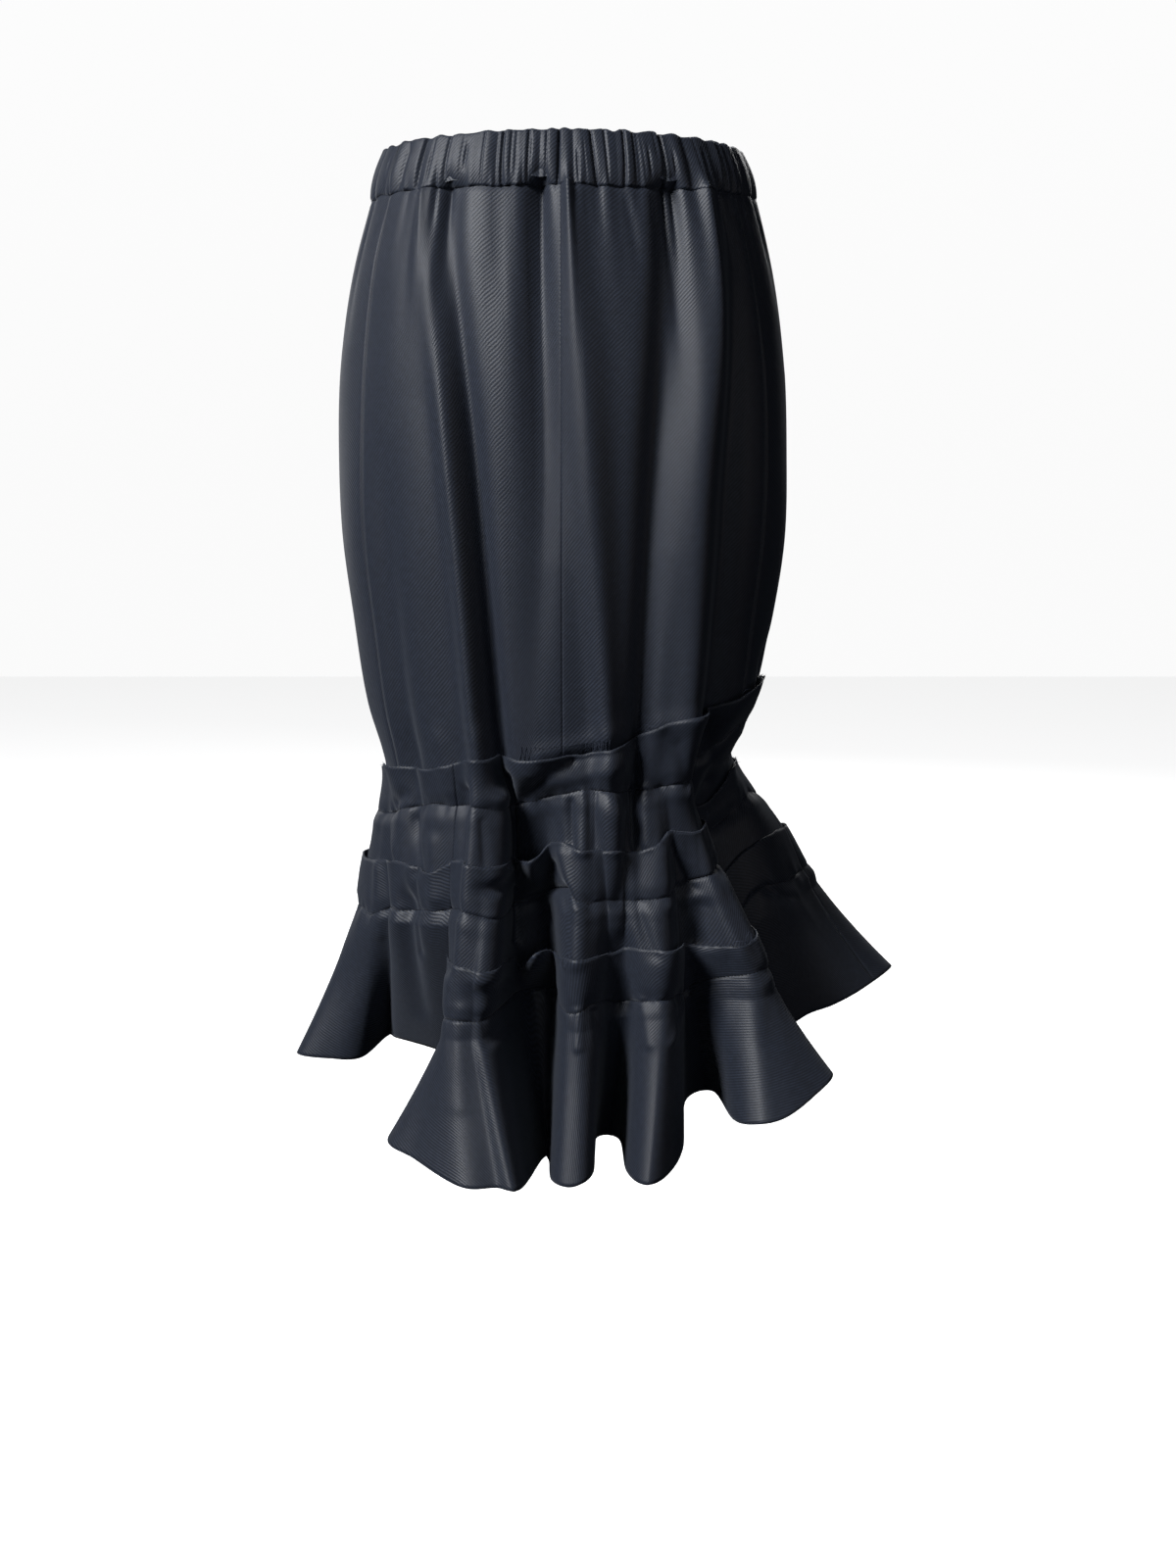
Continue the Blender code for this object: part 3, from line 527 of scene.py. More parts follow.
# How far the raw edge and its stitch line run above that even spiral: degrees wound and mm
RAW_RISE = {
    0: 0, 12: 1, 25.6: 2, 35.6: -2.3, 47: -1, 54: 1.1, 72.7: -2.6, 96: 0, 110: 0.8, 124.5: 1, 133: -0.4,
    155: -1.9, 170: 0.6, 193: -1.7, 205: 1.2, 216: -1.4, 229: 2.1, 242: -0.8, 253: 1.6, 266: -2, 279: 0.9,
    291: 2.2, 306: -1.7, 318: 1.1, 331: -0.9, 343: 2, 351: 6, 360: 10, 370: 12, 377: 11, 382: 2, 387: -7,
    393: -3, 401.5: 0.3, 410: 1.5, 420.7: 6, 424: 0, 432.4: -4.2, 441: -1, 449: 0.8, 454.3: 7.6, 458: 5.2,
    461.6: 0, 465.6: -3.2, 477: -1.6, 484: 3.9, 487.5: 5.6, 494.6: 1.7, 500.3: -4.3, 506: -0.4, 513: 2.7,
    533: 0.6, 545.6: -0.9, 556: 1.8, 569: -1.6, 580: 2.4, 594: -0.7, 607: 2, 619: -2.2, 632: 1.2, 645: 2.6,
    658: -1.5, 671: 0.8, 684: -1.8, 699: 1, 715: 4, 722: 8, 728: 10, 733: 11, 737: 6.4, 742: 4, 748: 0,
    759: -3, 773: -3.6, 785: 5, 790.5: 9, 801: 8.5, 807: 10, 811: 11, 817: 7, 824.5: 12, 832: -4, 836: 6.6,
    840: 7, 845: 10.8, 852: 10,
}
SEAM_RISE = {
    0: 0, 14: 2, 27: 4.4, 36: -8, 46: -17, 56: -14, 70: -7, 80: 3, 88: 8.7, 95: 7.9, 106: 2, 118: -2.6,
    123: 1.5, 133: 3.9, 140: 7.6, 152: 4.2, 159: 1.5, 170: -2, 183: -0.4, 194: 2.6, 206: -1.8, 219: 1.4,
    231: -2.4, 244: 2.2, 257: 0.4, 269: -2.7, 282: 1.9, 296: -1.2, 309: 2.8, 322: -1, 334: 0, 343: 3, 351: 10,
    360: 19, 370: 22, 377: 14, 385: 6, 393: 4, 402: 3.9, 411: 0.9, 422: -3.3, 434: -4.1, 442: -2.6, 449: -1.6,
    453: 8, 458: 4, 464.5: -3.9, 472: -5, 478: -3.3, 484.5: 5.7, 495.5: 2.3, 502: 3.1, 512: 0, 526: 1.8,
    534: -5.5, 537.5: -10.4, 543: -7, 550: -4.8, 561: 1.6, 573: -2.2, 586: 2.8, 599: -0.6, 611: -2.9,
    624: 1.7, 637: 2.2, 651: -1.9, 664: 0.9, 677: 2.6, 690: -0.5, 700: 2, 708: 5, 716: 7, 723: 7, 728.5: 6.5,
    733: 9, 737: 10, 742: 12, 748: 4, 758: -8, 760: 1.3, 771.5: 3.8, 775: -5, 782: 1, 789: 4.7, 796: 2.6,
    806: 9.6, 811: 4.4, 818: 9, 827: 6, 834: 9.9, 838: 4.8, 845: 5.7, 852: 5,
}

# Creases and soft ridges of the ruffle that every layer shares: heading and height in mm of both ends,
# half width and reach (out if above 0) in mm
RUFFLE_CREASES = table(
    "heading height to_heading to_height width reach", "height to_height width reach", [
    (-25.5, -455, -25, -505, 8.5, 3.6), (-23.6, -505, -23.4, -565, 7.8, 9.2),
    (-23.6, -585, -24, -645, 7.6, 8.4), (-27, -521, -25.9, -556, 1.8, -1.5),
    (-17.6, -488, -18, -560, 4.4, -7.2), (-18, -585, -18.4, -630, 4.4, -6),
    (-32.5, -500, -33, -640, 6, -5.2), (-43, -460, -40, -500, 9, 2.2), (-57, -532, -51, -568, 6, -4.2),
    (-52, -575, -49, -640, 5, -3.6), (-45, -545, -43, -590, 7, 2.6), (-80, -583, -78, -640, 6, 2.8),
    (-68, -520, -63, -512, 5.5, -3.4), (-75, -530, -66, -560, 6, 2), (-56, -600, -52, -700, 12, -8),
    (-14, -508, 2, -473, 6, -3.4), (2, -473, 26, -460, 5, -2.2), (-6, -468, 22, -449, 6, 2),
    (-2, -492, 20, -478, 6, 1.8), (34, -446, 50, -440, 7, 2), (6.9, -500, 6.6, -545, 4.2, 2.8),
    (2.8, -508, 3.2, -541, 3.4, -3.4), (1.1, -548, 5.6, -588, 4.4, 3.4), (-2, -560, 2, -590, 4, -3),
    (-18, -598, 2, -577, 4.2, -3.2), (-5, -600, -4.5, -612, 4, -2.2), (-11, -552, -9, -580, 6, 2),
    (5.8, -592, 4.9, -634, 4.8, 2.6), (11.5, -500, 10.5, -543, 3, -1.4), (16.4, -504, 16.4, -545, 4.2, 2.4),
    (25.5, -500, 24.5, -545, 3.4, -2.6), (30.5, -498, 29.1, -542, 4.2, 2.4), (20, -555, 17, -588, 5, -2.2),
    (17, -520, 17, -605, 15, 7), (40, -462, 44, -495, 6, -2.6), (55, -450, 66, -500, 8.5, -5.8),
    (82, -405, 86, -432, 18, -6), (37.8, -545, 43.5, -582, 5, -3.4), (32.5, -550, 33.5, -590, 6, 2.4),
    (44.7, -596, 42.7, -625, 5, -3.4), (24, -592, 27, -628, 5, -2.2), (-23.9, -677, -22.5, -697, 4, -2.6),
    (-28, -670, -30, -745, 5, 2.2), (5.2, -672, 5.6, -700, 3.4, 2.2), (10, -674, 11, -695, 3, -1.8),
    (23.7, -666, 25.7, -699, 3.8, 2), (36.9, -665, 31.1, -698, 4, 2.2), (34, -668, 33, -690, 3, -1.8),
    (52, -650, 50.5, -700, 6, -3), (78, -600, 84, -612, 5, -3.4), (86, -610, 90, -660, 7, 2.4),
    (112, -480, 120, -535, 7, -3.6), (124, -540, 121, -590, 6, 3), (131, -470, 146, -500, 7, -3),
    (139, -545, 142, -600, 5, -3.4), (152, -495, 155, -560, 6, 3), (163, -520, 172, -575, 5, -3.4),
    (174, -590, 178, -650, 5.5, 2.6), (183, -470, 196, -510, 7, -3), (194, -540, 192, -600, 5, -3.6),
    (203, -500, 206, -570, 6, 3), (218, -530, 224, -590, 5, -3.2), (229, -480, 240, -520, 7, -2.8),
    (236, -550, 233, -620, 6, 2.8), (250, -510, 247, -590, 5, -3.4), (261, -540, 266, -610, 6, 2.6),
    (160, -620, 162, -700, 6, -2.6), (211, -620, 208, -700, 6, -2.6),
])

PANEL_NIP = 0.0003        # how far the cloth is drawn in along a panel seam
PANEL_NIP_WIDTH = 0.55    # half width of that line in degrees
RUMPLE = 0.0007           # reach of the faint unevenness of hanging cloth
PUCKERS = 210             # puckers along the whole stitch line
PUCKER_REACH = 0.0015
PUCKER_WIDTH = 1.1        # half width in degrees
CREASE_IN = 0.0014        # the sharp nip of the cloth at a stitch line
CREASE_HEIGHT = 0.0013
DEGREE = 0.0028           # metres of cloth a degree, about, at the ruffle
SEAM_WANDER_FADE = 0.012  # drop over which the seam's wandering dies out in the body
FOOT_EASE = 9.0           # degrees before START over which the body's lower edge comes down


def fold_value(t, name):
    """Smooth value of one column of HEM_FOLDS at line t."""
    return glide(t, np.arange(len(HEM_FOLDS)), column(HEM_FOLDS, name))


def heading_at(t):
    """Heading of the cloth's own upright line t, halfway down the ruffle."""
    return (fold_value(t, "knee") + fold_value(t, "seam")) / 2


def t_where(heading, name=None):
    """Line at a heading, halfway down the ruffle or at a named level of HEM_FOLDS."""
    t = np.linspace(0, T_END, 4000)
    return float(np.interp(heading, fold_value(t, name) if name else heading_at(t), t))


T_START = t_where(START)
T_BEHIND = T_START + 0.001  # the same place, where one more turn has been wound
centre = t_where(CENTRE_FRONT, "knee")
right = t_where(SIDE, "knee")
left = t_where(360 - SIDE, "knee")


def fold_heading(t, height):
    """Heading of upright line t at a height on the body, where the lines lean with the long folds."""
    levels = FOLD_HEIGHTS[::-1]
    knee = fold_value(t, "knee")
    lines = np.array([fold.heads for fold in BODY_FOLDS])
    lines = np.vstack([lines[-2:] - 360, lines, lines[:2] + 360])
    heading = 0.0
    for level in range(len(levels)):
        share = glide(height, levels, np.arange(len(levels)) == level)
        heading = heading + share * np.interp(knee, lines[:, -1], lines[:, len(levels) - 1 - level])
    return heading


def wound(t, turn):
    """Degrees that the strip has wound at line t of a turn, numbered from 1 at the strip's start."""
    return START - heading_at(t) + 360 * (turn - 1) + np.where(t > T_START, 360, 0)


def by_winding(rises, t, turn):
    """Metres that STRIP_PATH, RAW_RISE or SEAM_RISE gives at line t of a turn."""
    return glide(wound(t, turn), list(rises), list(rises.values())) / 1000


def spiral(t, turn):
    """Height of the even spiral that the raw upper edge of a turn follows."""
    return by_winding(STRIP_PATH, t, turn)


def raw_height(t, turn):
    """Height of the raw upper edge of a turn."""
    return spiral(t, turn) + by_winding(RAW_RISE, t, turn)


def stitch_height(t, turn):
    """Height of the stitch line of a turn."""
    return spiral(t, turn) - STANDING + by_winding(SEAM_RISE, t, turn)


def last_spiral(t):
    """Height of the even spiral's lowest stitch line: turn three's in front, turn two's behind."""
    return np.where(t > T_START, spiral(t, 2), spiral(t, 3)) - STANDING


def form(t, height):
    """The cloth's inner surface at line t, down to the lowest stitch line, and the ring's outward way."""
    lowest = last_spiral(t)
    last_end = spiral(0.0, 3) - STANDING
    full = lowest + (last_end - lowest) * smooth_step((t - T_END) / END_FOLDS + 1)
    grown = np.clip((KNEE - height) / (KNEE - full), 0, 1)
    heading = fold_heading(t, height) * (1 - grown) + fold_value(t, "seam") * grown
    x, y, normal_x, normal_y = ring(heading, height)
    down = (0.0, HIGH_LEVEL, 1.0)
    out = LONG_SHARE * body_relief(heading, height) * (1 - grown)
    out = out + fold_value(t, "high") * glide(grown, down, (0.0, 1.0, 0.0))
    out = out + fold_value(t, "low") * glide(grown, down, (0.0, 0.0, 1.0))
    return x + normal_x * out, y + normal_y * out, normal_x, normal_y


def outward(points):
    """Level way out of a grid at each of its points: its row's own run, crossed with the upright."""
    along = np.gradient(points, axis=1) * (1, 1, 0)
    along = along / np.maximum(np.linalg.norm(along, axis=-1, keepdims=True), 1e-9)
    return np.cross(along, (0, 0, 1))


def rumple(heading, height):
    """Faint unevenness of the cloth: six seeded waves that close round the skirt, each sin(a phi + b z)."""
    seeded = np.random.default_rng(3)
    relief = 0.0
    for _ in range(6):
        round_waves = seeded.integers(5, 17)
        up_waves = seeded.uniform(-45, 45)
        phase = seeded.uniform(0, 2 * np.pi)
        relief = relief + np.sin(np.radians(heading * round_waves) + up_waves * height + phase)
    return RUMPLE * relief / 2


def along_strip(angle, count, seed, low, high):
    """uneven() over the strip's whole winding instead of one turn: count values over 900 degrees."""
    return uneven(angle / 2.5, count, seed, low, high)


def pucker_relief(angle, rise):
    """Short creases that spread from a stitch line: bells across its run, dying out up and down."""
    seeded = np.random.default_rng(31)
    places = (np.arange(PUCKERS) + seeded.uniform(-0.45, 0.45, PUCKERS)) / PUCKERS * 900
    reach = seeded.uniform(0.15, 1.0, PUCKERS) * seeded.choice((-1.0, 1.0), PUCKERS, p=(0.6, 0.4))
    up = seeded.uniform(0.004, 0.016, PUCKERS)
    down = seeded.uniform(0.005, 0.018, PUCKERS)
    lean = seeded.uniform(-110, 110, PUCKERS)
    width = PUCKER_WIDTH * seeded.uniform(0.6, 1.5, PUCKERS)
    relief = np.zeros(np.broadcast(angle, rise).shape)
    for row in np.flatnonzero((places > angle.min() - 4) & (places < angle.max() + 4)):
        fade = np.exp(-(np.where(rise > 0, rise / up[row], -rise / down[row]) ** 1.5))
        shape = bell(angle - lean[row] * rise - places[row], width[row] * (1 + np.abs(rise) * 45))
        relief = relief + PUCKER_REACH * reach[row] * fade * shape
    return relief


def seam_relief(t, height, turn):
    """What one turn's stitch line does to the cloth: a soft draw-in, a sharp nip and puckers, all uneven."""
    angle = wound(t, turn)
    rise = height - stitch_height(t, turn)
    drawn = PINCH * along_strip(angle, 90, 71, 0.2, 1.6) * bell(rise, PINCH_REACH)
    nip = CREASE_IN * along_strip(angle, 300, 72, 0.0, 1.7) * bell(rise, CREASE_HEIGHT)
    begun = smooth_step(angle / START_FADE)
    return begun * (pucker_relief(angle, rise) - drawn - nip)


def crease_relief(heading, height):
    """RUFFLE_CREASES: each a bell across the distance to its own segment, on the cloth rolled out flat."""
    relief = np.zeros(np.broadcast(heading, height).shape)
    for crease in RUFFLE_CREASES:
        across = degrees_from(crease.heading, heading) * DEGREE
        up = height - crease.height
        run = (crease.to_heading - crease.heading) * DEGREE
        climb = crease.to_height - crease.height
        share = np.clip((across * run + up * climb) / (run * run + climb * climb), 0, 1)
        distance = np.hypot(across - share * run, up - share * climb)
        relief = relief + crease.reach * bell(distance, crease.width)
    return relief


def fine_relief(t, height):
    """All that the cloth has finer than the solids' form, shared by every layer so that none crosses."""
    heading = heading_at(t)
    relief = rumple(heading, height) + crease_relief(heading, height)
    relief = relief + seam_relief(t, height, 1) + seam_relief(t, height, 2)
    return relief + np.where(t > T_START, 0.0, seam_relief(t, height, 3))


def body_points(first, last):
    """A body panel, from behind the band down to below the stitch line of the strip's first turn."""
    if last < first:
        t = np.concatenate([np.linspace(first, T_END, round((T_END - first) * COLUMNS_A_BODY_FOLD)),
                            np.linspace(0, last, round(last * COLUMNS_A_BODY_FOLD) + 1)[1:]])
    else:
        t = np.linspace(first, last, round((last - first) * COLUMNS_A_BODY_FOLD) + 1)
    if first < T_START < last:
        t = np.sort(np.append(t, (T_START, T_BEHIND)))
    t = t[None, :]
    begin = t_where(START - FOOT_EASE)
    eased = np.where(t > T_START, 0.0, smooth_step((t - begin) / (T_START - begin)))
    seam = stitch_height(t, 1) * (1 - eased) + stitch_height(t, 2) * eased
    knee = seam + STANDING
    height = np.concatenate([
        BAND_BOTTOM + BODY_TUCK * np.array([[1.0], [0.5]]) + 0 * t,
        BAND_BOTTOM + (knee - BAND_BOTTOM) * (np.linspace(0, 1, 90)[:, None] ** 1.15),
        knee + (seam - SEAM_ALLOWANCE - knee) * np.linspace(0, 1, 22)[1:, None],
    ])
    heading = fold_heading(t, height)
    near_seam = np.minimum(np.exp((height - BAND_BOTTOM) / SEAM_WANDER_FADE), 1)
    height = height + (seam_height(heading) - BAND_BOTTOM) * near_seam
    wide = np.broadcast_to(t, height.shape)
    out = fine_relief(wide, height) + fan_relief(heading, height)
    out = out - seam_roll(np.maximum(seam_height(heading) - height, 0))
    for line in (centre, right, left):
        out = out - PANEL_NIP * bell(degrees_from(fold_heading(line, height), heading), PANEL_NIP_WIDTH)
    return lifted(*form(wide, height), out, height)


# Each panel between its seams, and its cut: width and length, and the area of its egg shape
for name, first, last, flat, area in (
    ("front_left", left, centre, (0.236, 0.530), 0.112),
    ("front_right", centre, right, (0.236, 0.530), 0.112),
    ("back", right, left, (0.900, 0.560), 0.415),
):
    panel = cloth_piece("panel_" + name, body_points(first, last), "body_" + name, CLOTH)

# ------------------------------
# Ruffle: one long strip of the same twill, wound round the knee in a spiral and stitched down 4 cm below
# its raw upper edge. The raw edge stands off the cloth behind it, and the last turn falls free in deep
# flutes to a clean hem.
# ------------------------------
# Places where a raw edge stands away from the cloth behind it: turn, heading, half width, distance in mm
GAPES = table("turn heading width distance", "distance", [
    (1, 62, 9, 7), (1, -8, 9, 6), (1, 22, 4, 2.5), (2, -10, 7, 26), (2, 305, 5, 4), (3, -10, 6, 48),
    (3, 33, 6, 7), (3, 44, 4, 10),
])
PUFF = 0.0008             # how far a turn bulges below its own stitch line
EDGE_CURL = 0.0016        # how far the top of a raw edge rolls out
EDGE_CURL_HEIGHT = 0.005
EDGE_WANDER = 0.0008      # uneven cut of the raw edge


def gape(t, turn):
    """How far the raw edge of a turn stands off the cloth behind it."""
    heading = heading_at(t)
    reach = STAND_OUT * along_strip(wound(t, turn), 110, 73, 0.1, 1.9)
    for place in GAPES:
        if place.turn == turn:
            reach = reach + place.distance * bell(heading - place.heading, place.width)
    return reach


def ruffle_points(turn, first, last, hanging):
    """A length of the strip, down to below the next turn's raw edge or to its own free hem."""
    t = np.linspace(first, last, round((last - first) * COLUMNS_A_FOLD) + 1)[None, :]
    heading = heading_at(t)
    raw = raw_height(t, turn)
    own = stitch_height(t, turn)
    free = last_spiral(t) - SEAM_ALLOWANCE
    wander = EDGE_WANDER * uneven(heading, 110, 40 + turn, -1, 1)
    if hanging:
        foot = fold_value(t, "z")
    else:
        next_seam = stitch_height(t, turn + 1)
        foot = next_seam - SEAM_ALLOWANCE
    below = own + (foot - own) * np.linspace(0, 1, 60 if hanging else 34)[1:, None] ** 1.4
    standing = (1 - np.linspace(0, 1, 22)[:, None]) ** 1.4
    height = np.concatenate([own + (raw + wander - own) * standing, below])
    wide = np.broadcast_to(t, height.shape)
    level = np.maximum(height, free)
    x, y, normal_x, normal_y = form(wide, level)
    points = np.stack([x, y, height], axis=-1)
    layer = np.full(height.shape, CLOTH + LAYER_GAP)
    if not hanging:
        layer = layer * (1 - smooth_step((own - height) / (own - next_seam)))
    rise = (height - own) / (raw - own)
    above = gape(t, turn) * smooth_step(rise)
    curl = EDGE_CURL * uneven(heading, 70, 50 + turn, -0.2, 1) * np.exp(-(raw - height) / EDGE_CURL_HEIGHT)
    above = above + np.where(rise > 0, curl, 0)
    next_edge = foot if hanging else raw_height(t, turn + 1)
    puffed = np.clip((own - height) / np.maximum(own - next_edge, 0.02), 0, 1)
    bulge = PUFF * uneven(heading, 40, 60 + turn, 0.3, 1.4) * np.sin(np.pi * np.minimum(puffed * 2.2, 1)) ** 2
    layer = layer + fine_relief(wide, height)
    points += outward(points) * layer[..., None]
    points[..., 0] += normal_x * (above + bulge)
    points[..., 1] += normal_y * (above + bulge)
    if hanging:
        drop = np.clip((free - height) / (free - foot), 0, 1)
        swing = drop * (SWING + (1 - SWING) * drop)
        for axis, name in enumerate("xy"):
            points[..., axis] += (fold_value(t, name) - points[..., axis]) * swing
    return points


# Each length of the strip: its turn, its first and last line, whether it hangs free to the hem, and its cut
strips = {}
for turn, end, first, last, hanging, flat, area in (
    (1, "front", 0, T_START, False, (0.560, 0.156), 0.067),
    (1, "back", T_BEHIND, T_END, False, (0.940, 0.145), 0.109),
    (2, "front", 0, T_START, False, (0.720, 0.156), 0.082),
    (2, "back", T_BEHIND, T_END, True, (1.430, 0.212), 0.208),
    (3, "front", 0, T_START, True, (1.330, 0.218), 0.150),
):
    name = f"turn_{turn}_{end}"
    strips[name] = ruffle_points(turn, first, last, hanging)
    strip = cloth_piece("strip_" + name, strips[name], f"ruffle_{turn}_{end}", CLOTH, hanging)

# ------------------------------
# Threads: a lockstitch of polyester thread along the strip's stitch line, the fuzz of loose yarns that the
# raw edges shed, a few pulled loops, and an overlocked edge that shows above the strip at the front.
# ------------------------------
STITCH = 0.0031           # from one stitch to the next
STITCH_SHARE = 0.72       # the part of it that shows on the face
STITCH_RADIUS = 0.00027
STITCH_ROW = 21           # row of a strip's grid that is its own stitch line
YARNS_A_METRE = 380
YARN_RADIUS = 0.00011
YARN_LENGTHS = (0.0008, 0.0042)
LOOP_RADIUS = 0.00020
OVERLOCK_STEP = 0.0016    # from one loop of the overlock to the next
OVERLOCK_RADIUS = 0.00028
OVERLOCK_ENDS = (-13.0, 16.0)
OVERLOCK_LOW = -0.003     # height of the overlock's loops next to the raw edge before it
OVERLOCK_HIGH = 0.009
OVERLOCK_WANDER = 0.0006
THREAD_HEX = "07080c"     # the sewing thread
YARN_HEX = "3d4352"       # the loose yarns

# Pulled loops of yarn: length of the strip, heading, then half width, rise and reach outwards in mm
LOOPS = table("piece heading width rise out", "width rise out", [
    ("turn_1_front", 30, 2.2, 6, 2), ("turn_1_front", 31.5, 3.5, 3.5, 4), ("turn_1_front", 64, 4, 5, 3),
    ("turn_2_front", -22, 3, -5, 4), ("turn_2_front", -20.5, 1.8, 4.5, 2), ("turn_2_front", 53.5, 4, 8, 3),
    ("turn_2_front", 55, 2.8, 6, 5), ("turn_3_front", 2.5, 3.5, -6, 4), ("turn_3_front", 4, 2.2, 5, 3),
    ("turn_3_front", 46, 4, 9, 3), ("turn_3_front", 47.5, 5.5, 6, 6), ("turn_3_front", 49, 3, 11, 2),
    ("turn_1_back", 150, 3, 5, 3), ("turn_2_back", 215, 4, 6, 3),
])


def thread_material(name, colour, roughness):
    """Spun thread: matt, with a fine lengthwise unevenness that keeps it from looking like wire."""
    material, tree, shader = new_material(name, {"Roughness": roughness, "Specular IOR Level": 0.25})
    place = add_node(tree, "ShaderNodeTexCoord").outputs["Object"]
    fibres = add_node(tree, "ShaderNodeTexNoise", {"Vector": place, "Scale": 1800.0, "Detail": 2.0})
    dark = tuple(0.6 * channel for channel in linear(colour)[:3]) + (1.0,)
    shade = add_node(tree, "ShaderNodeMix", {
        "Factor": fibres.outputs["Fac"], "A": dark, "B": linear(colour)}, data_type="RGBA")
    tree.links.new(shade.outputs["Result"], shader.inputs["Base Color"])
    return material


SEWING_THREAD = thread_material("sewing_thread", THREAD_HEX, 0.5)
LOOSE_YARN = thread_material("loose_yarn", YARN_HEX, 0.8)


def threads(name, paths, radius, material, tip):
    """Threads along many paths at once: p + r (side cos a + up sin a), thinner towards both tips."""
    along = np.gradient(paths, axis=1)
    along = along / np.linalg.norm(along, axis=-1, keepdims=True)
    side = np.cross(along, (0.031, 0.017, 1.0))
    side = side / np.linalg.norm(side, axis=-1, keepdims=True)
    up = np.cross(side, along)
    thickness = radius * (1 - (1 - tip) * np.linspace(-1, 1, paths.shape[1]) ** 6)[:, None, None]
    angle = np.arange(4)[:, None] * np.pi / 2
    points = side[:, :, None] * np.cos(angle) + up[:, :, None] * np.sin(angle)
    points = paths[:, :, None] + thickness * points
    corner = np.arange(points.size // 3).reshape(points.shape[:3])
    beside = np.roll(corner, -1, axis=2)
    walls = np.stack([corner[:, :-1], corner[:, 1:], beside[:, 1:], beside[:, :-1]], axis=-1)
    faces = np.concatenate([walls.reshape(-1, 4), corner[:, 0], corner[:, -1, ::-1]])
    quad_piece(name, points, faces, material)


def run_of(line):
    """Distance along a line of points, from its first point."""
    return np.concatenate([[0], np.cumsum(np.linalg.norm(np.diff(line, axis=0), axis=1))])


def on_line(place, run, values):
    """Values of a line at places along its run."""
    return np.stack([np.interp(place, run, values[:, axis]) for axis in range(3)], axis=-1)


def stitch_paths(points):
    """Stitches along the stitch line of a strip: each rises out of the cloth, lies on it and dips back in."""
    line = points[STITCH_ROW]
    run = run_of(line)
    place = np.arange(STITCH, run[-1] - STITCH, STITCH)[:, None]
    place = place + STITCH * STITCH_SHARE * np.linspace(0, 1, 5)
    lift = CLOTH / 2 + STITCH_RADIUS * np.array([-1.5, 0.7, 1.0, 0.7, -1.5])
    return on_line(place, run, line) + on_line(place, run, outward(points)[STITCH_ROW]) * lift[:, None]


def yarn_paths(points, seed):
    """Loose yarns on a raw edge: root + length * (s * way + s^2 * bend), every one its own way."""
    seeded = np.random.default_rng(seed)
    line = points[0]
    run = run_of(line)
    count = int(run[-1] * YARNS_A_METRE)
    place = seeded.uniform(0, run[-1], count)
    root = on_line(place, run, line)
    out = on_line(place, run, outward(points)[0])
    along = np.cross(out, (0.0, 0.0, 1.0))
    lean, bend = seeded.uniform(-1, 1, (2, count, 1))
    forward, sag = seeded.uniform(-0.4, 0.8, (2, count, 1))
    way = np.array((0.0, 0.0, 1.0)) + along * lean + out * forward
    curve = along * bend + out * sag - np.array((0.0, 0.0, 0.5))
    low, high = YARN_LENGTHS
    length = low + (high - low) * seeded.uniform(0, 1, (count, 1, 1)) ** 2.5
    step = np.linspace(0, 1, 5)[:, None]
    return root[:, None] + length * (step * way[:, None] + step ** 2 * curve[:, None])


def loop_path(loop):
    """A pulled loop: along * width * cos a, up * rise * sin a and out * reach * sin a, from its raw edge."""
    points = strips[loop.piece]
    run = run_of(points[0])
    ends = (T_BEHIND, T_END) if loop.piece.endswith("back") else (0, T_START)
    place = np.interp([loop.heading], heading_at(np.linspace(*ends, points.shape[1])), run)
    root = on_line(place, run, points[0])
    out = on_line(place, run, outward(points)[0])
    along = np.cross(out, (0.0, 0.0, 1.0))
    angle = np.linspace(-0.3, math.pi + 0.25, 16)[:, None]
    reach = np.sin(angle) * np.array((0.0, 0.0, loop.rise)) + out * loop.out * np.sin(angle)
    return root + along * loop.width * (np.cos(angle) + 0.3 * np.sin(2 * angle)) + reach


def overlock_path():
    """The overlock's zigzag on the body's face, behind the strip's raw edge at the front."""
    first, last = (t_where(heading) for heading in OVERLOCK_ENDS)
    long_line = np.linspace(first, last, 200)
    x, y, _, _ = form(long_line, raw_height(long_line, 1))
    count = int(np.hypot(np.diff(x), np.diff(y)).sum() / OVERLOCK_STEP) * 2
    t = np.linspace(first, last, count)[None, :]
    height = raw_height(t, 1) + np.where(np.arange(count) % 2, OVERLOCK_HIGH, OVERLOCK_LOW)
    height = height + OVERLOCK_WANDER * uneven(np.arange(count) * 7.0, 90, 91, -1, 1)
    return lifted(*form(t, height), fine_relief(t, height) + CLOTH / 2 + EASE, height)


for number, (name, points) in enumerate(strips.items()):
    threads("stitching_" + name, stitch_paths(points), STITCH_RADIUS, SEWING_THREAD, 0.35)
    threads("loose_yarns_" + name, yarn_paths(points, 80 + number), YARN_RADIUS, LOOSE_YARN, 0.5)
loop_paths = np.stack([loop_path(loop) for loop in LOOPS])
threads("pulled_loops", loop_paths, LOOP_RADIUS, LOOSE_YARN, 0.5)
threads("overlock", overlock_path(), OVERLOCK_RADIUS, LOOSE_YARN, 1.0)

# ------------------------------
# Studio: a plain pale floor and surround, a soft key light from the upper left in front, and weaker lights
# from the other sides.
# ------------------------------
FLOOR = -1.10             # the studio's floor, below the hanging skirt
FLOOR_HALF = 6.0
FLOOR_GLOW = 0.84         # lights the floor evenly to a near white
CAMERA_PLACE = (0.0205, -1.68, -0.230)
CAMERA_DOWN = 9.6         # degrees below level
LENS = 45
SENSOR = 36


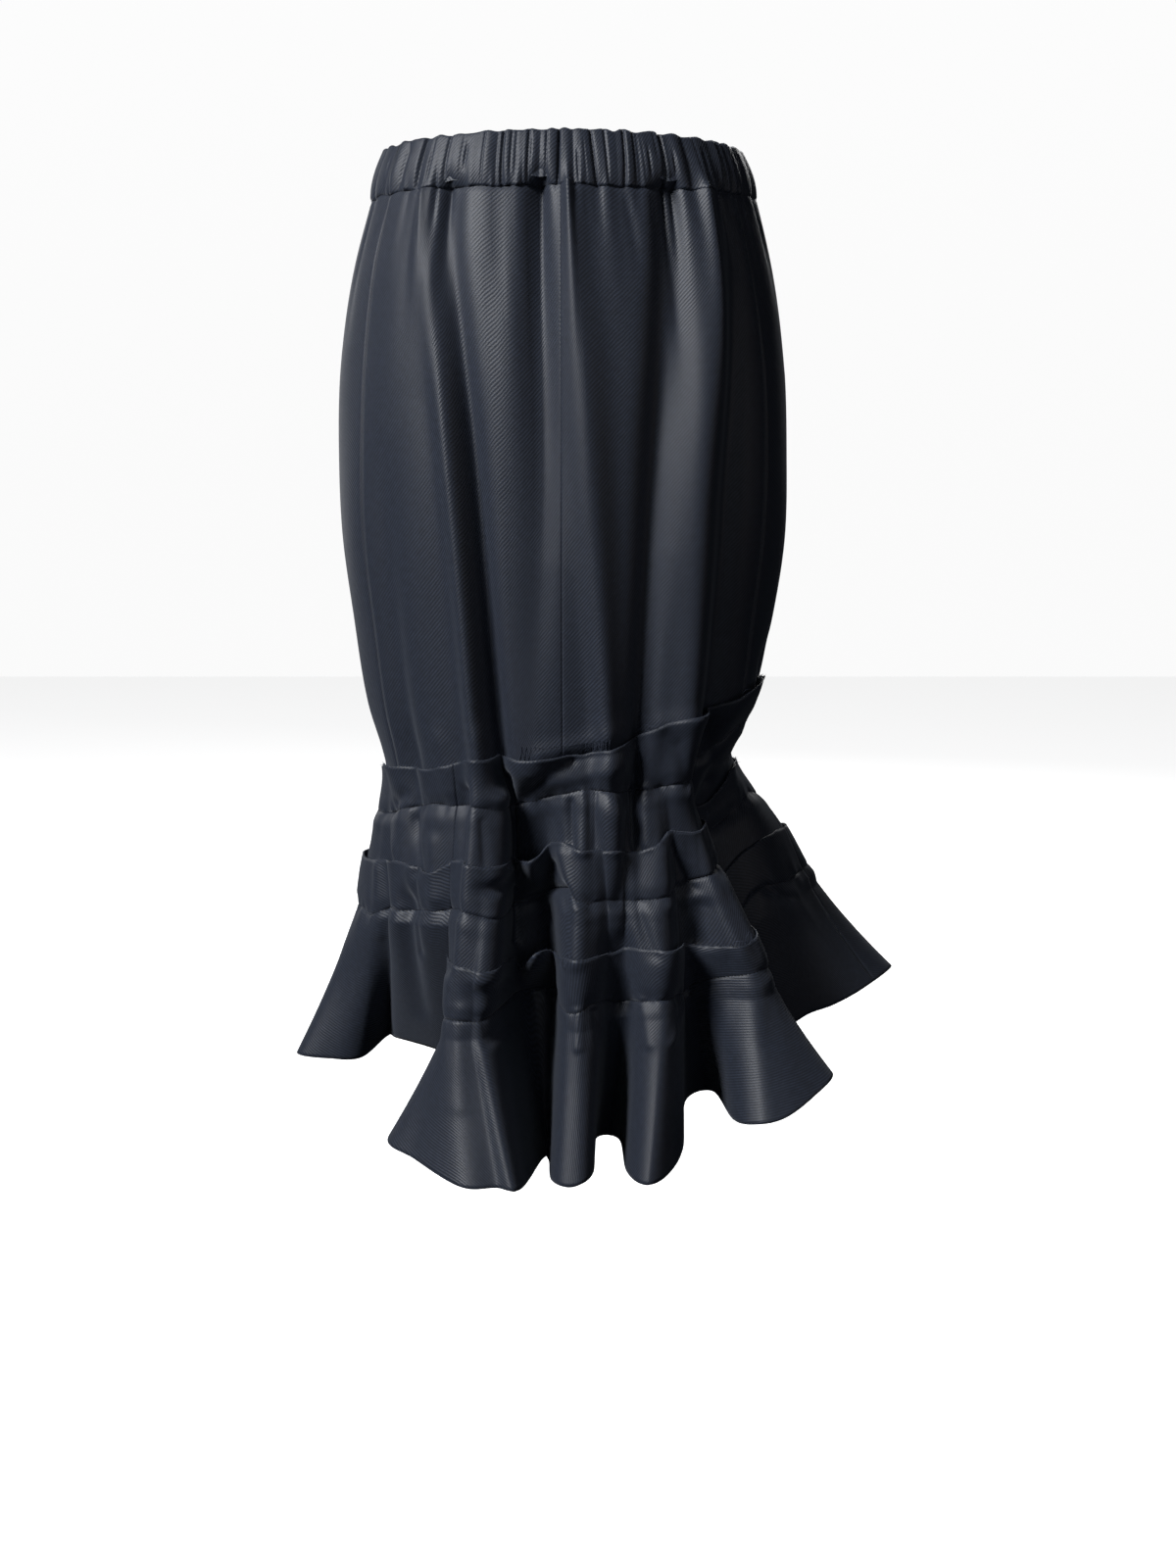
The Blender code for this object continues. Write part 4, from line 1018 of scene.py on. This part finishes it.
def floor_material():
    """Pale matt paint of a studio floor, faintly uneven."""
    material, tree, shader = new_material("studio_floor", {
        "Roughness": 0.9, "Specular IOR Level": 0.1, "Emission Color": (1, 1, 1, 1),
        "Emission Strength": FLOOR_GLOW})
    shade = add_node(tree, "ShaderNodeTexNoise", {
        "Vector": add_node(tree, "ShaderNodeTexCoord").outputs["Object"], "Scale": 1.5})
    colour = add_node(tree, "ShaderNodeMix", {
        "Factor": shade.outputs["Fac"], "A": linear("f4f4f4"), "B": linear("fafafa")}, data_type="RGBA")
    tree.links.new(colour.outputs["Result"], shader.inputs["Base Color"])
    return material


def area_light(name, place, aim, size, power, colour=(1, 1, 1)):
    """A square soft light at a place, turned to a point."""
    light = bpy.data.lights.new(name, "AREA")
    light.energy = power
    light.size = size
    light.color = colour
    lamp = new_object(name, light)
    lamp.location = place
    way = np.array(place, float) - np.array(aim, float)
    lamp.rotation_euler = (math.atan2(math.hypot(way[0], way[1]), way[2]), 0, math.atan2(way[0], -way[1]))


floor_mesh = bpy.data.meshes.new("floor")
floor_mesh.from_pydata(
    [(x * FLOOR_HALF, y * FLOOR_HALF, FLOOR) for x, y in ((-1, -1), (1, -1), (1, 1), (-1, 1))], [],
    [(0, 1, 2, 3)])
floor_mesh.materials.append(floor_material())
floor = new_object("floor", floor_mesh)
# Floor and surround are only seen, so that the lamps alone shade the dark cloth.
floor.visible_diffuse = False
floor.visible_glossy = False

world = bpy.data.worlds.new("studio")
world.use_nodes = True
bpy.context.scene.world = world
sky = world.node_tree
direction = add_node(sky, "ShaderNodeTexCoord").outputs["Generated"]
split = add_node(sky, "ShaderNodeSeparateXYZ", {"Vector": direction})
brightness = add_node(sky, "ShaderNodeMapRange", {
    "Value": split.outputs["Z"], "From Min": 0.0, "From Max": 0.35, "To Min": 0.96, "To Max": 0.985})
sky.links.new(brightness.outputs["Result"], sky.nodes["Background"].inputs["Strength"])
sky.nodes["Background"].inputs["Color"].default_value = (1, 1, 1, 1)
world.cycles_visibility.diffuse = False
world.cycles_visibility.glossy = False

area_light("key", (-2.1, -1.8, 1.5), (0, 0, -0.35), 1.0, 165, (0.97, 0.98, 1))
area_light("fill", (0.5, -2.7, 0.1), (0, 0, -0.4), 1.6, 6, (0.88, 0.93, 1))
area_light("back_key", (0.9, 2.7, 1.2), (0, 0, -0.35), 1.2, 34)
area_light("back_fill", (-1.6, 2.3, 0.2), (0, 0, -0.4), 1.6, 10)
area_light("right_fill", (2.5, -1.3, 0.1), (0, 0, -0.6), 1.0, 4, (1, 0.95, 0.95))

bpy.context.scene.view_settings.view_transform = "Standard"
camera_data = bpy.data.cameras.new("camera")
camera_data.lens = LENS
camera_data.sensor_width = SENSOR
camera = new_object("camera", camera_data)
camera.location = CAMERA_PLACE
camera.rotation_euler = (math.radians(90 - CAMERA_DOWN), 0, 0)
bpy.context.scene.camera = camera
